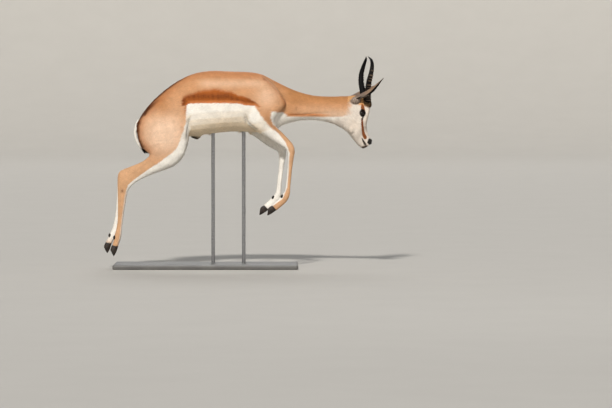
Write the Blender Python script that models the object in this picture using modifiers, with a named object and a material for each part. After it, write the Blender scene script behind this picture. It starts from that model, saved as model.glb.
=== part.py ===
"""A life-size springbok ram in a pronking leap, held over the floor by a plain display stand.

Metres, +Z up. The animal faces +X and its left side is +Y. The origin is the middle of the
stand's underside. The flesh is modelled whole from lofted forms and parted with thin cuts.
"""

import math
from collections import namedtuple

import bmesh
import bpy
from mathutils import Matrix, Vector

# Driving dimensions
GAP = 0.0003                  # kept between touching pieces
FLESH_GAP = 0.0005            # where a piece is cut clear of the curved flesh
SHELL_DEPTHS = (0.00002, GAP, FLESH_GAP)
STAND_LENGTH = 0.90
STAND_WIDTH = 0.38
STAND_THICKNESS = 0.022
STAND_CORNER = 0.006
ROD_RADIUS = 0.009
ROD_PLACES = (0.035, 0.185)   # along X, under the belly and under the chest
ROD_SOCKET = 0.024            # how deep each rod sits in the body
ROD_SIDES = 24
EYE_RADIUS = 0.0168
HORN_RINGS = 12
RINGED_SHARE = 0.66           # of a horn's length, from its root
CLAW_SPREAD = 0.0086          # from a foot's middle to the middle of each claw
HEAD_TURN = math.radians(17)  # the head looks a little to the animal's left
HEAD_PIVOT = Vector((0.69, 0.0, 0.0))

BODY_VOXEL = 0.0055           # melts the trunk and legs together
BODY_SMOOTHING = 6
HEAD_VOXEL = 0.0023           # keeps the lids and lips
HEAD_SMOOTHING = 4
EVEN_TRIANGLES = 12200        # of the flesh, thinned evenly
FLESH_TRIANGLES = 7700        # once the trunk and legs are thinned further than the head
FINE_FROM = 0.67              # the flesh ahead of this X keeps its finer triangles
SHARP_ANGLE = math.radians(50)

COLOURS = {
    "coat_tan": ((0.60, 0.30, 0.13), 0.80, 0.0),
    "horn": ((0.030, 0.024, 0.022), 0.45, 0.0),
    "hoof": ((0.035, 0.030, 0.028), 0.50, 0.0),
    "eye": ((0.012, 0.008, 0.006), 0.08, 0.0),
    "stand_board": ((0.17, 0.16, 0.15), 0.55, 0.0),
    "stand_rod": ((0.45, 0.45, 0.46), 0.30, 1.0),
}

# A rib is one cross-section. Its upper and lower ends are (x, z) points of the side view,
# half is its half width across Y, y its middle, wide the share of the way up at which it is
# widest, and round the exponent of its superellipse.
Rib = namedtuple("Rib", "upper lower half y wide round", defaults=(0.0, 0.5, 2.0))

TORSO = (
    Rib((-0.304, 0.628), (-0.262, 0.655), 0.034),
    Rib((-0.320, 0.662), (-0.215, 0.652), 0.062),
    Rib((-0.328, 0.706), (-0.175, 0.645), 0.078),
    Rib((-0.318, 0.751), (-0.140, 0.640), 0.086),
    Rib((-0.247, 0.833), (-0.100, 0.642), 0.098),
    Rib((-0.157, 0.904), (-0.083, 0.646), 0.096, 0.0, 0.52, 2.1),
    Rib((-0.066, 0.950), (-0.050, 0.647), 0.098, 0.0, 0.50, 2.2),
    Rib((0.025, 0.966), (0.025, 0.658), 0.110, 0.0, 0.47, 2.2),
    Rib((0.115, 0.963), (0.120, 0.668), 0.118, 0.0, 0.46, 2.15),
    Rib((0.206, 0.960), (0.220, 0.666), 0.108, 0.0, 0.50, 2.05),
    Rib((0.268, 0.950), (0.300, 0.667), 0.090, 0.0, 0.52, 2.0),
    Rib((0.312, 0.928), (0.350, 0.678), 0.070, 0.0, 0.52, 2.0),
    Rib((0.335, 0.890), (0.372, 0.705), 0.046, 0.0, 0.52, 2.0),
)

NECK = (
    Rib((0.225, 0.935), (0.300, 0.715), 0.050),
    Rib((0.290, 0.938), (0.352, 0.692), 0.062, 0.0, 0.48, 2.0),
    Rib((0.345, 0.913), (0.398, 0.706), 0.060, 0.0, 0.46, 2.0),
    Rib((0.431, 0.872), (0.470, 0.722), 0.050, 0.0, 0.46, 2.0),
    Rib((0.524, 0.846), (0.545, 0.722), 0.044, 0.0, 0.48, 2.0),
    Rib((0.612, 0.841), (0.612, 0.709), 0.042, -0.004, 0.50, 2.0),
    Rib((0.665, 0.842), (0.645, 0.695), 0.042, -0.006, 0.52, 2.0),
    Rib((0.705, 0.842), (0.675, 0.678), 0.040, -0.002, 0.54, 2.0),
)

# The head's ribs turn from the neck's line down to the muzzle's, before the head is turned.
SKULL = (
    Rib((0.652, 0.836), (0.634, 0.706), 0.036, 0.0, 0.50, 2.0),
    Rib((0.700, 0.843), (0.664, 0.686), 0.045, 0.0, 0.52, 2.0),
    Rib((0.746, 0.844), (0.688, 0.668), 0.049, 0.0, 0.58, 2.05),
    Rib((0.788, 0.832), (0.700, 0.656), 0.049, 0.0, 0.64, 2.15),
    Rib((0.804, 0.800), (0.708, 0.648), 0.050, 0.0, 0.66, 2.3),
    Rib((0.800, 0.768), (0.716, 0.639), 0.049, 0.0, 0.64, 2.35),
    Rib((0.793, 0.736), (0.724, 0.628), 0.043, 0.0, 0.60, 2.25),
    Rib((0.789, 0.706), (0.734, 0.616), 0.034, 0.0, 0.60, 2.1),
    Rib((0.792, 0.676), (0.744, 0.605), 0.028, 0.0, 0.56, 2.1),
    Rib((0.801, 0.650), (0.753, 0.597), 0.0255, 0.0, 0.54, 2.2),
    Rib((0.813, 0.630), (0.763, 0.591), 0.0245, 0.0, 0.54, 2.3),
    Rib((0.814, 0.614), (0.776, 0.589), 0.0205, 0.0, 0.52, 2.3),
    Rib((0.805, 0.604), (0.788, 0.593), 0.0120, 0.0, 0.50, 2.2),
)

# Each leg is given for the right side, with y as the distance out from the middle. A leg's
# shift is how far the left one's ribs lie from the right one's, in the side view.
HINDLEG = (
    Rib((-0.150, 0.830), (-0.270, 0.790), 0.014, 0.046),
    Rib((-0.095, 0.775), (-0.330, 0.722), 0.042, 0.055),
    Rib((-0.075, 0.705), (-0.334, 0.660), 0.051, 0.064),
    Rib((-0.082, 0.645), (-0.320, 0.610), 0.048, 0.066),
    Rib((-0.091, 0.596), (-0.294, 0.578), 0.042, 0.068),
    Rib((-0.112, 0.546), (-0.274, 0.560), 0.035, 0.069),
    Rib((-0.152, 0.506), (-0.283, 0.546), 0.030, 0.068),
    Rib((-0.215, 0.478), (-0.305, 0.527), 0.0240, 0.064),
    Rib((-0.278, 0.453), (-0.348, 0.508), 0.0185, 0.060),
    Rib((-0.334, 0.423), (-0.398, 0.489), 0.0165, 0.056),
    Rib((-0.362, 0.402), (-0.426, 0.470), 0.0185, 0.055, 0.55),
    Rib((-0.380, 0.374), (-0.433, 0.420), 0.0175, 0.054, 0.58),
    Rib((-0.388, 0.331), (-0.431, 0.350), 0.0145, 0.053),
    Rib((-0.400, 0.260), (-0.431, 0.262), 0.0118, 0.052),
    Rib((-0.408, 0.200), (-0.437, 0.198), 0.0120, 0.051),
    Rib((-0.411, 0.158), (-0.448, 0.160), 0.0152, 0.051),
    Rib((-0.420, 0.130), (-0.452, 0.136), 0.0135, 0.051),
    Rib((-0.427, 0.108), (-0.459, 0.114), 0.0145, 0.051),
    Rib((-0.434, 0.084), (-0.462, 0.092), 0.0135, 0.051),
)
HIND_SHIFTS = ((0.0, 0.0),) * 5 + (
    (0.0, -0.004), (0.0, -0.006), (-0.001, -0.005), (-0.002, -0.003), (-0.003, -0.001),
    (-0.004, 0.0), (-0.006, 0.0), (-0.010, 0.0), (-0.017, 0.002), (-0.023, 0.004),
    (-0.028, 0.006), (-0.033, 0.008), (-0.037, 0.010), (-0.041, 0.012),
)

FORELEG = (
    Rib((0.300, 0.925), (0.215, 0.905), 0.014, 0.045),
    Rib((0.352, 0.872), (0.195, 0.845), 0.026, 0.060),
    Rib((0.387, 0.826), (0.192, 0.790), 0.033, 0.069),
    Rib((0.395, 0.796), (0.197, 0.748), 0.035, 0.073),
    Rib((0.366, 0.763), (0.205, 0.718), 0.034, 0.074),
    Rib((0.345, 0.735), (0.213, 0.699), 0.031, 0.073),
    Rib((0.340, 0.712), (0.240, 0.680), 0.027, 0.070),
    Rib((0.352, 0.690), (0.277, 0.659), 0.0235, 0.066),
    Rib((0.375, 0.665), (0.314, 0.633), 0.0205, 0.061),
    Rib((0.404, 0.636), (0.352, 0.608), 0.0180, 0.057),
    Rib((0.428, 0.606), (0.384, 0.589), 0.0175, 0.055),
    Rib((0.436, 0.575), (0.397, 0.571), 0.0185, 0.054),
    Rib((0.432, 0.545), (0.400, 0.543), 0.0165, 0.053),
    Rib((0.424, 0.490), (0.398, 0.490), 0.0125, 0.052),
    Rib((0.418, 0.430), (0.392, 0.431), 0.0112, 0.051),
    Rib((0.414, 0.380), (0.386, 0.382), 0.0120, 0.051),
    Rib((0.409, 0.348), (0.373, 0.361), 0.0148, 0.051),
    Rib((0.391, 0.320), (0.357, 0.345), 0.0140, 0.051),
    Rib((0.366, 0.299), (0.341, 0.327), 0.0135, 0.051),
    Rib((0.349, 0.283), (0.322, 0.311), 0.0145, 0.051),
    Rib((0.330, 0.265), (0.306, 0.292), 0.0135, 0.051),
)
FORE_SHIFTS = ((0.0, 0.0),) * 3 + (
    (-0.004, -0.010), (-0.008, -0.018), (-0.012, -0.026), (-0.016, -0.030), (-0.022, -0.030),
    (-0.028, -0.028), (-0.034, -0.022), (-0.039, -0.016), (-0.042, -0.013), (-0.043, -0.012),
    (-0.044, -0.011), (-0.045, -0.010), (-0.045, -0.010), (-0.044, -0.009), (-0.043, -0.007),
    (-0.041, -0.004), (-0.040, -0.002), (-0.038, 0.0),
)


def clear_scene():
    for obj in list(bpy.data.objects):
        bpy.data.objects.remove(obj)


def collection_named(name):
    made = bpy.data.collections.new(name)
    bpy.context.scene.collection.children.link(made)
    return made


def material_named(name):
    found = bpy.data.materials.get(name)
    if found:
        return found
    colour, roughness, metallic = COLOURS[name]
    made = bpy.data.materials.new(name)
    made.use_nodes = True
    shader = made.node_tree.nodes["Principled BSDF"]
    shader.inputs["Base Color"].default_value = (*colour, 1.0)
    shader.inputs["Roughness"].default_value = roughness
    shader.inputs["Metallic"].default_value = metallic
    return made


def object_from(name, mesh_maker, collection, material="coat_tan"):
    """An object whose mesh is filled in by mesh_maker, with its faces turned outwards."""
    mesh = bpy.data.meshes.new(name)
    maker = bmesh.new()
    mesh_maker(maker)
    bmesh.ops.recalc_face_normals(maker, faces=maker.faces)
    maker.to_mesh(mesh)
    maker.free()
    obj = bpy.data.objects.new(name, mesh)
    obj.data.materials.append(material_named(material))
    collection.objects.link(obj)
    return obj


def baked(obj):
    """Replaces the object's mesh with its evaluated one and drops its modifiers."""
    graph = bpy.context.evaluated_depsgraph_get()
    mesh = bpy.data.meshes.new_from_object(obj.evaluated_get(graph))
    obj.modifiers.clear()
    obj.data = mesh
    return obj


def outward(obj):
    """Turns the faces of a closed mesh outwards, which Solidify may leave turned in."""
    mesh = bmesh.new()
    mesh.from_mesh(obj.data)
    bmesh.ops.recalc_face_normals(mesh, faces=mesh.faces)
    mesh.to_mesh(obj.data)
    mesh.free()
    return obj


def joined(name, pieces):
    """One closed object that is the Boolean union of closed pieces, which are then removed."""
    first, others = pieces[0], pieces[1:]
    group = bpy.data.collections.new(name + "_pieces")
    bpy.context.scene.collection.children.link(group)
    for piece in others:
        group.objects.link(piece)
    union = first.modifiers.new("union", "BOOLEAN")
    union.operation = "UNION"
    union.operand_type = "COLLECTION"
    union.collection = group
    union.solver = "EXACT"
    baked(first)
    for piece in others:
        bpy.data.objects.remove(piece)
    bpy.data.collections.remove(group)
    first.name = name
    return first


def cut(obj, cutter, keep_cutter=False):
    """Takes the cutter out of the object. The exact solver fails on the blended forms."""
    difference = obj.modifiers.new("cut", "BOOLEAN")
    difference.operation = "DIFFERENCE"
    difference.object = cutter
    difference.solver = "MANIFOLD"
    baked(obj)
    if not keep_cutter:
        bpy.data.objects.remove(cutter)
    return obj


def blended(obj, voxel, smoothing):
    """Melts a union's creases together."""
    remesh = obj.modifiers.new("remesh", "REMESH")
    remesh.mode = "VOXEL"
    remesh.voxel_size = voxel
    smooth = obj.modifiers.new("smooth", "SMOOTH")
    smooth.factor = 0.5
    smooth.iterations = smoothing
    return baked(obj)


def triangles_in(obj):
    return sum(len(face.vertices) - 2 for face in obj.data.polygons)


def thinned(obj, triangles, plain_part=None):
    """Thins a form to about that many triangles, only where plain_part holds if it is given."""
    decimate = obj.modifiers.new("decimate", "DECIMATE")
    decimate.ratio = triangles / triangles_in(obj)
    if plain_part:
        group = obj.vertex_groups.new(name="plain")
        group.add([vert.index for vert in obj.data.vertices if plain_part(vert.co)], 1.0, "ADD")
        decimate.vertex_group = group.name
        decimate.vertex_group_factor = 10.0
    return baked(obj)


def largest_only(obj):
    """Keeps the object's largest closed surface."""
    mesh = bmesh.new()
    mesh.from_mesh(obj.data)
    shells = shells_of(mesh)
    shells.sort(key=len)
    for shell in shells[:-1]:
        bmesh.ops.delete(mesh, geom=list(shell), context="FACES")
    mesh.to_mesh(obj.data)
    mesh.free()
    return obj


def shells_of(mesh):
    """The mesh's faces as sets that are joined by edges."""
    left = set(mesh.faces)
    shells = []
    while left:
        seed = left.pop()
        shell = {seed}
        waiting = [seed]
        while waiting:
            face = waiting.pop()
            for edge in face.edges:
                for other in edge.link_faces:
                    if other in left:
                        left.discard(other)
                        shell.add(other)
                        waiting.append(other)
        shells.append(shell)
    return shells


def swell(obj, name, amount):
    """A copy whose surface lies that much further out, used to cut a neighbour clear."""
    copy = obj.copy()
    copy.data = obj.data.copy()
    copy.name = name
    bpy.context.scene.collection.objects.link(copy)
    displace = copy.modifiers.new("swell", "DISPLACE")
    displace.mid_level = 0.0
    displace.strength = amount
    return baked(copy)


def cut_clear(obj, shells):
    """Cuts a piece clear of the flesh. One swollen shell alone dips under it in its creases."""
    for shell in shells:
        cut(obj, shell, keep_cutter=True)
    return largest_only(obj)


def flat_list(rib):
    return (*rib.upper, *rib.lower, rib.half, rib.y, rib.wide, rib.round)


def between(ribs, steps):
    """Ribs read from a smooth curve through the given ones, steps to each interval."""
    rows = [flat_list(rib) for rib in ribs]
    rows = [rows[0], *rows, rows[-1]]
    found = []
    for i in range(1, len(rows) - 2):
        before, start, end, after = rows[i - 1:i + 3]
        for step in range(steps):
            t = step / steps
            row = [
                0.5 * (2 * b + (c - a) * t + (2 * a - 5 * b + 4 * c - d) * t * t
                       + (3 * b - a - 3 * c + d) * t ** 3)
                for a, b, c, d in zip(before, start, end, after)
            ]
            found.append(row)
    found.append(rows[-1])
    return [Rib(tuple(r[0:2]), tuple(r[2:4]), r[4], r[5], r[6], r[7]) for r in found]


def signed_power(value, power):
    return math.copysign(abs(value) ** power, value)


def ring_of(rib, sides):
    """The points of one cross-section, as a superellipse with its widest place off the middle."""
    points = []
    power = 2.0 / rib.round
    for i in range(sides):
        angle = 2 * math.pi * i / sides
        rise = signed_power(math.cos(angle), power)
        share = rib.wide + (1 - rib.wide if rise > 0 else rib.wide) * rise
        x = rib.lower[0] + (rib.upper[0] - rib.lower[0]) * share
        z = rib.lower[1] + (rib.upper[1] - rib.lower[1]) * share
        y = rib.y + rib.half * signed_power(math.sin(angle), power)
        points.append(Vector((x, y, z)))
    return points


def bridge(maker, rings):
    """Faces between rings of equal count, with a cap at each end."""
    loops = [[maker.verts.new(point) for point in ring] for ring in rings]
    for first, second in zip(loops, loops[1:]):
        for i in range(len(first)):
            j = (i + 1) % len(first)
            maker.faces.new((first[i], first[j], second[j], second[i]))
    maker.faces.new(loops[0])
    maker.faces.new(loops[-1][::-1])


def loft(name, ribs, sides, steps, collection, place=None, material="coat_tan"):
    """A closed form through the ribs. place moves each point, for a part with its own frame."""
    rings = [ring_of(rib, sides) for rib in between(ribs, steps)]
    if place:
        rings = [[place(point) for point in ring] for ring in rings]
    return object_from(name, lambda maker: bridge(maker, rings), collection, material)


def ellipsoid(name, middle, radii, collection, tilt=0.0, segments=20, material="coat_tan"):
    """An ellipsoid with its radii along X, Y and Z, tilted about Y."""
    matrix = (
        Matrix.Translation(middle) @ Matrix.Rotation(tilt, 4, "Y") @ Matrix.Diagonal((*radii, 1))
    )

    def fill(maker):
        bmesh.ops.create_uvsphere(
            maker, u_segments=segments, v_segments=segments // 2, radius=1.0, matrix=matrix)

    return object_from(name, fill, collection, material)


def turned_head(point):
    """A point of the head's own frame, which looks straight ahead, in the model's frame."""
    return HEAD_PIVOT + Matrix.Rotation(HEAD_TURN, 3, "Z") @ (Vector(point) - HEAD_PIVOT)


def head_ellipsoid(name, middle, radii, collection, tilt=0.0):
    obj = ellipsoid(name, middle, radii, collection, tilt)
    obj.data.transform(
        Matrix.Translation(HEAD_PIVOT) @ Matrix.Rotation(HEAD_TURN, 4, "Z")
        @ Matrix.Translation(-HEAD_PIVOT))
    return obj


def leg_ribs(ribs, shifts, side):
    """One leg's ribs: side is -1 for the right leg and 1 for the left, which also shifts."""
    made = []
    for rib, shift in zip(ribs, shifts):
        dx, dz = shift if side > 0 else (0.0, 0.0)
        upper = (rib.upper[0] + dx, rib.upper[1] + dz)
        lower = (rib.lower[0] + dx, rib.lower[1] + dz)
        made.append(rib._replace(upper=upper, lower=lower, y=side * rib.y))
    return made


# The body

# Middle, radii and tilt of the forms that fill out the trunk
SHEATH = ((-0.045, 0, 0.6475), (0.025, 0.010, 0.0135), 0.15)
BRISKET = ((0.325, 0, 0.742), (0.052, 0.050, 0.066), 0.3)
HAUNCH = ((-0.195, 0.060, 0.730), (0.108, 0.040, 0.088), 0.5)   # of the left side


def body_form(parts):
    """Torso, neck and legs as one blended form."""
    pieces = [
        loft("torso_form", TORSO, 28, 3, parts),
        loft("neck_form", NECK, 24, 3, parts),
        ellipsoid("sheath", *SHEATH[:2], parts, SHEATH[2]),
        ellipsoid("brisket", *BRISKET[:2], parts, BRISKET[2]),
    ]
    for side in (-1, 1):
        fore = leg_ribs(FORELEG, FORE_SHIFTS, side)
        hind = leg_ribs(HINDLEG, HIND_SHIFTS, side)
        pieces.append(loft("fore_form", fore, 18, 2, parts))
        pieces.append(loft("hind_form", hind, 18, 2, parts))
        middle, radii, tilt = HAUNCH
        pieces.append(ellipsoid("haunch", on_side(middle, side), radii, parts, tilt))
    whole = joined("flesh", pieces)
    return blended(whole, BODY_VOXEL, BODY_SMOOTHING)


def plate(name, start, end, profile, collection):
    """A sheet as thick as the gap. Its long edges run from start to end, (x, z) points, and its
    profile is a list of (y, dz) corners across it."""
    def fill(maker):
        rows = [
            [maker.verts.new((x, y, z + dz)) for y, dz in profile]
            for x, z in (start, end)
        ]
        for i in range(len(profile) - 1):
            maker.faces.new((rows[0][i], rows[0][i + 1], rows[1][i + 1], rows[1][i]))

    obj = object_from(name, fill, collection)
    solidify = obj.modifiers.new("thickness", "SOLIDIFY")
    solidify.thickness = GAP
    solidify.offset = 0.0
    solidify.use_even_offset = True
    return outward(baked(obj))


def straight(low, high):
    return ((low, 0.0), (high, 0.0))


def crossing(rib_a, rib_b, share, reach):
    """The side-view line of a cut across a leg, share of the way from one rib to the next."""
    ends = []
    for first, second in ((rib_a.lower, rib_b.lower), (rib_a.upper, rib_b.upper)):
        ends.append(Vector(first).lerp(Vector(second), share))
    along = (ends[1] - ends[0]).normalized() * reach
    return ends[0] - along, ends[1] + along


# Side-view lines of the cuts, and how far to each side they reach
NECK_CUT = ((0.318, 0.985), (0.432, 0.665))
NAPE_CUT = ((0.668, 0.640), (0.712, 0.900))
NECK_REACH = 0.13
ARM_CUT = ((0.180, 0.656), (0.460, 0.700))
ARM_FROM = 0.026              # from the middle, so that the brisket stays whole
HIP_CUT = ((-0.400, 0.603), (-0.020, 0.640))
HIP_FROM = 0.011
LEG_FROM = 0.001
SIDE_REACH = 0.150
CUT_OVERSHOOT = 0.03          # past both edges of a leg
JOINT_SHARE = 0.4             # of the way from a joint's rib to the next
FORE_CORONET = 19             # the place in FORELEG of the rib over the hoof
HIND_CORONET = 17
FORE_FETLOCK = 16
HIND_FETLOCK = 15
CARPUS = 11
STIFLE = 6
HOCK = 10


def cutting_plates(cutters):
    across = straight(-NECK_REACH, NECK_REACH)
    plates = [
        plate("cut_neck", *NECK_CUT, across, cutters),
        plate("cut_nape", *NAPE_CUT, across, cutters),
    ]
    for side in (-1, 1):
        name = "left" if side > 0 else "right"
        fore = leg_ribs(FORELEG, FORE_SHIFTS, side)
        hind = leg_ribs(HINDLEG, HIND_SHIFTS, side)
        armpit = straight(side * ARM_FROM, side * SIDE_REACH)
        plates.append(plate("cut_arm_" + name, *ARM_CUT, armpit, cutters))
        groin = straight(side * HIP_FROM, side * SIDE_REACH)
        plates.append(plate("cut_hip_" + name, *HIP_CUT, groin, cutters))
        outwards = straight(side * LEG_FROM, side * SIDE_REACH)
        for label, ribs, place, share in (
            ("carpus", fore, CARPUS, JOINT_SHARE),
            ("fore_coronet", fore, FORE_CORONET, 0.0),
            ("stifle", hind, STIFLE, JOINT_SHARE),
            ("hock", hind, HOCK, JOINT_SHARE),
            ("hind_coronet", hind, HIND_CORONET, 0.0),
        ):
            start, end = crossing(ribs[place], ribs[place + 1], share, CUT_OVERSHOOT)
            plates.append(plate(f"cut_{label}_{name}", start, end, outwards, cutters))
    return plates


# Where each flesh node lies: the piece whose middle is nearest takes the name.
MIDDLES = {
    "torso": (0.020, 0.0, 0.800),
    "neck": (0.540, 0.0, 0.790),
    "head": (0.760, 0.010, 0.720),
    "thigh_right": (-0.200, -0.066, 0.570),
    "shank_right": (-0.320, -0.059, 0.465),
    "hind_cannon_right": (-0.420, -0.052, 0.250),
    "forearm_right": (0.345, -0.062, 0.650),
    "fore_cannon_right": (0.400, -0.052, 0.440),
    "thigh_left": (-0.200, 0.066, 0.565),
    "shank_left": (-0.322, 0.059, 0.462),
    "hind_cannon_left": (-0.438, 0.052, 0.255),
    "forearm_left": (0.320, 0.062, 0.625),
    "fore_cannon_left": (0.356, 0.052, 0.430),
}


def part_flesh(flesh, parts, cutters):
    """Cuts the blended form with the plates and gives each piece its node's name."""
    for sheet in cutting_plates(cutters):
        cut(flesh, sheet)
    whole = bmesh.new()
    whole.from_mesh(flesh.data)
    best = {}
    for shell in shells_of(whole):
        points = {vert for face in shell for vert in face.verts}
        middle = sum((vert.co for vert in points), Vector()) / len(points)
        name = min(MIDDLES, key=lambda key: (Vector(MIDDLES[key]) - middle).length)
        if len(shell) > len(best.get(name, ())):
            best[name] = {face.index for face in shell}
    whole.free()
    nodes = {}
    for name, kept in best.items():
        node = flesh.copy()
        node.data = flesh.data.copy()
        node.name = name
        parts.objects.link(node)
        mesh = bmesh.new()
        mesh.from_mesh(node.data)
        others = [face for face in mesh.faces if face.index not in kept]
        bmesh.ops.delete(mesh, geom=others, context="FACES")
        mesh.to_mesh(node.data)
        mesh.free()
        nodes[name] = node
    bpy.data.objects.remove(flesh)
    return nodes


# The head

EYE_MIDDLE = Vector((0.7535, 0.0370, 0.7580))   # the left eye's, in the head's own frame
EYE_LOOK = (0.22, 1.0, 0.05)                    # the way the left eye looks
FACE_DOWN = Vector((0.28, 0.0, -1.0))           # down the face, the long way of the lids
EAR_ROOT = Vector((0.722, 0.046, 0.829))
LIP_RADIUS = 0.0034
LIP_OFFSET = 0.0032                             # of each lip from the line of the mouth
MOUTH_RADIUS = 0.0014
NOSTRIL_RADIUS = 0.0040
NOSTRIL_DEPTH = 0.0012
LID_THICKNESS = 0.0024
LID_CORNERS = 16
LID_RIM_DEPTH = 0.0120                          # of the lids' rim from the eye's middle
LID_RIM_GROWTH = 0.0012
LID_LENGTH = 0.0300                             # of the opening between the lids
LID_HEIGHT = 0.0240
MOUTH_LINE = (                                  # from the left corner to the front of the lips
    (0.7600, 0.0300, 0.6350),
    (0.7670, 0.0265, 0.6220),
    (0.7760, 0.0225, 0.6090),
    (0.7870, 0.0120, 0.5970),
    (0.7900, 0.0000, 0.5940),
)
LIP_TUCK = 0.15                                 # how far the lips lie in from that line, by share
NOSTRIL_LINE = (                                # a comma from the front, round the left side
    (0.8180, 0.0080, 0.6125),
    (0.8120, 0.0180, 0.6165),
    (0.8020, 0.0240, 0.6235),
)


def mirrored(point):
    return Vector((point[0], -point[1], point[2]))


def on_side(point, side):
    """A point of the left side, or its mirror image for the right."""
    return Vector(point) if side > 0 else mirrored(point)


def lid_outline(side, depth, grown=0.0):
    """An almond round the eye's gaze, that far out from the eye's middle, its long way down
    the face. Its inner corner is the sharper one."""
    gaze = on_side(EYE_LOOK, side).normalized()
    down = (FACE_DOWN - gaze * FACE_DOWN.dot(gaze)).normalized()
    over = gaze.cross(down)
    middle = on_side(EYE_MIDDLE, side) + gaze * depth
    points = []
    for i in range(LID_CORNERS):
        angle = 2 * math.pi * i / LID_CORNERS
        along = math.cos(angle) * (LID_LENGTH / 2 + grown)
        across = signed_power(math.sin(angle), 1.2) * (LID_HEIGHT / 2 + grown)
        points.append(turned_head(middle + down * along + over * across))
    return points


def lip(name, drop, parts):
    """A roll of flesh beside the line of the mouth."""
    half = smooth_line(MOUTH_LINE, 3)
    line = half[:-1] + [mirrored(point) for point in reversed(half)]
    across = Vector((0.55, 0.0, -0.83)).cross(Vector((0, 1, 0))) * drop
    rows = [turned_head(point + across - Vector((0, LIP_TUCK * point.y, 0))) for point in line]
    return tube(name, rows, LIP_RADIUS, parts, 1)


# Name, middle, radii and tilt of the head's smaller forms: first those of the left side, which
# the right side repeats, then those of the middle
PAIRED_FORMS = (
    ("lids", EYE_MIDDLE, (EYE_RADIUS + LID_THICKNESS,) * 3, 0.0),
    ("brow", EYE_MIDDLE + Vector((0.015, -0.005, 0.012)), (0.019, 0.015, 0.024), 0.0),
    ("cheek", (0.722, 0.0235, 0.702), (0.030, 0.018, 0.045), 0.35),
    ("ear_root", EAR_ROOT + Vector((0.001, -0.003, -0.006)), (0.026, 0.0150, 0.0180), -0.4),
    ("horn_root", (0.7875, 0.023, 0.804), (0.0225, 0.0195, 0.025), 0.0),
    ("nose_wing", (0.806, 0.0125, 0.622), (0.011, 0.0115, 0.012), 0.0),
)
MIDDLE_FORMS = (
    ("nose_pad", (0.809, 0, 0.613), (0.010, 0.012, 0.010), 0.0),
    ("chin", (0.772, 0, 0.594), (0.013, 0.014, 0.008), 0.2),
)


def head_pieces(parts):
    pieces = [loft("skull_form", SKULL, 28, 3, parts, turned_head)]
    pieces.append(lip("upper_lip", LIP_OFFSET, parts))
    pieces.append(lip("lower_lip", -LIP_OFFSET, parts))
    for side in (-1, 1):
        rim = lid_outline(side, LID_RIM_DEPTH, LID_RIM_GROWTH)
        pieces.append(tube("lid_rim", rim + rim[:2], LID_THICKNESS, parts, 1))
        for name, middle, radii, tilt in PAIRED_FORMS:
            pieces.append(head_ellipsoid(name, on_side(middle, side), radii, parts, tilt))
    for name, middle, radii, tilt in MIDDLE_FORMS:
        pieces.append(head_ellipsoid(name, middle, radii, parts, tilt))
    return pieces


def sphere_at(name, middle, radius, collection, segments=18, material="eye"):
    return ellipsoid(name, middle, (radius,) * 3, collection, 0.0, segments, material)


def tube(name, points, radius, collection, resolution=2, radii=None, material="coat_tan"):
    """A round tube on a poly line, as a mesh."""
    curve = bpy.data.curves.new(name, "CURVE")
    curve.dimensions = "3D"
    curve.bevel_depth = radius
    curve.bevel_resolution = resolution
    curve.use_fill_caps = True
    spline = curve.splines.new("POLY")
    spline.points.add(len(points) - 1)
    for i, point in enumerate(points):
        spline.points[i].co = (*point, 1.0)
        spline.points[i].radius = radii[i] if radii else 1.0
    guide = bpy.data.objects.new(name + "_line", curve)
    collection.objects.link(guide)
    graph = bpy.context.evaluated_depsgraph_get()
    mesh = bpy.data.meshes.new_from_object(guide.evaluated_get(graph))
    bpy.data.objects.remove(guide)

    def fill(maker):
        maker.from_mesh(mesh)
        bmesh.ops.remove_doubles(maker, verts=maker.verts, dist=1e-5)

    return object_from(name, fill, collection, material)


def smooth_line(points, steps):
    """Points read from a smooth curve through the given ones."""
    rows = [Vector(point) for point in points]
    rows = [2 * rows[0] - rows[1], *rows, 2 * rows[-1] - rows[-2]]
    found = []
    for i in range(1, len(rows) - 2):
        a, b, c, d = rows[i - 1:i + 3]
        for step in range(steps):
            t = step / steps
            found.append(0.5 * (2 * b + (c - a) * t + (2 * a - 5 * b + 4 * c - d) * t * t
                                + (3 * b - a - 3 * c + d) * t ** 3))
    found.append(rows[-2])
    return found


def sunk(flesh, points, depth):
    """Points of the head's own frame drawn onto the flesh and pushed in by that depth."""
    found = []
    for point in points:
        _, near, normal, _ = flesh.closest_point_on_mesh(turned_head(point))
        found.append(near - normal * depth)
    return found


def carve_head(flesh, cutters):
    """Eye openings, nostrils and the line of the mouth."""
    for side in (-1, 1):
        eye = turned_head(on_side(EYE_MIDDLE, side))
        cut(flesh, sphere_at("socket", eye, EYE_RADIUS + GAP, cutters))
        rings = [lid_outline(side, 0.004), lid_outline(side, 0.040)]
        cut(flesh, object_from("lid_opening", lambda maker: bridge(maker, rings), cutters))
        comma = smooth_line([on_side(point, side) for point in NOSTRIL_LINE], 3)
        radii = [0.55 + 0.45 * math.sin(math.pi * i / (len(comma) - 1)) for i in range(len(comma))]
        line = sunk(flesh, comma, NOSTRIL_DEPTH)
        cut(flesh, tube("nostril", line, NOSTRIL_RADIUS, cutters, 1, radii))
    half = smooth_line(MOUTH_LINE, 3)
    line = half[:-1] + [mirrored(point) for point in reversed(half)]
    cut(flesh, tube("mouth", sunk(flesh, line, 0.0), MOUTH_RADIUS, cutters, 1))


# Horns, ears, eyes, tail and hooves

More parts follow.
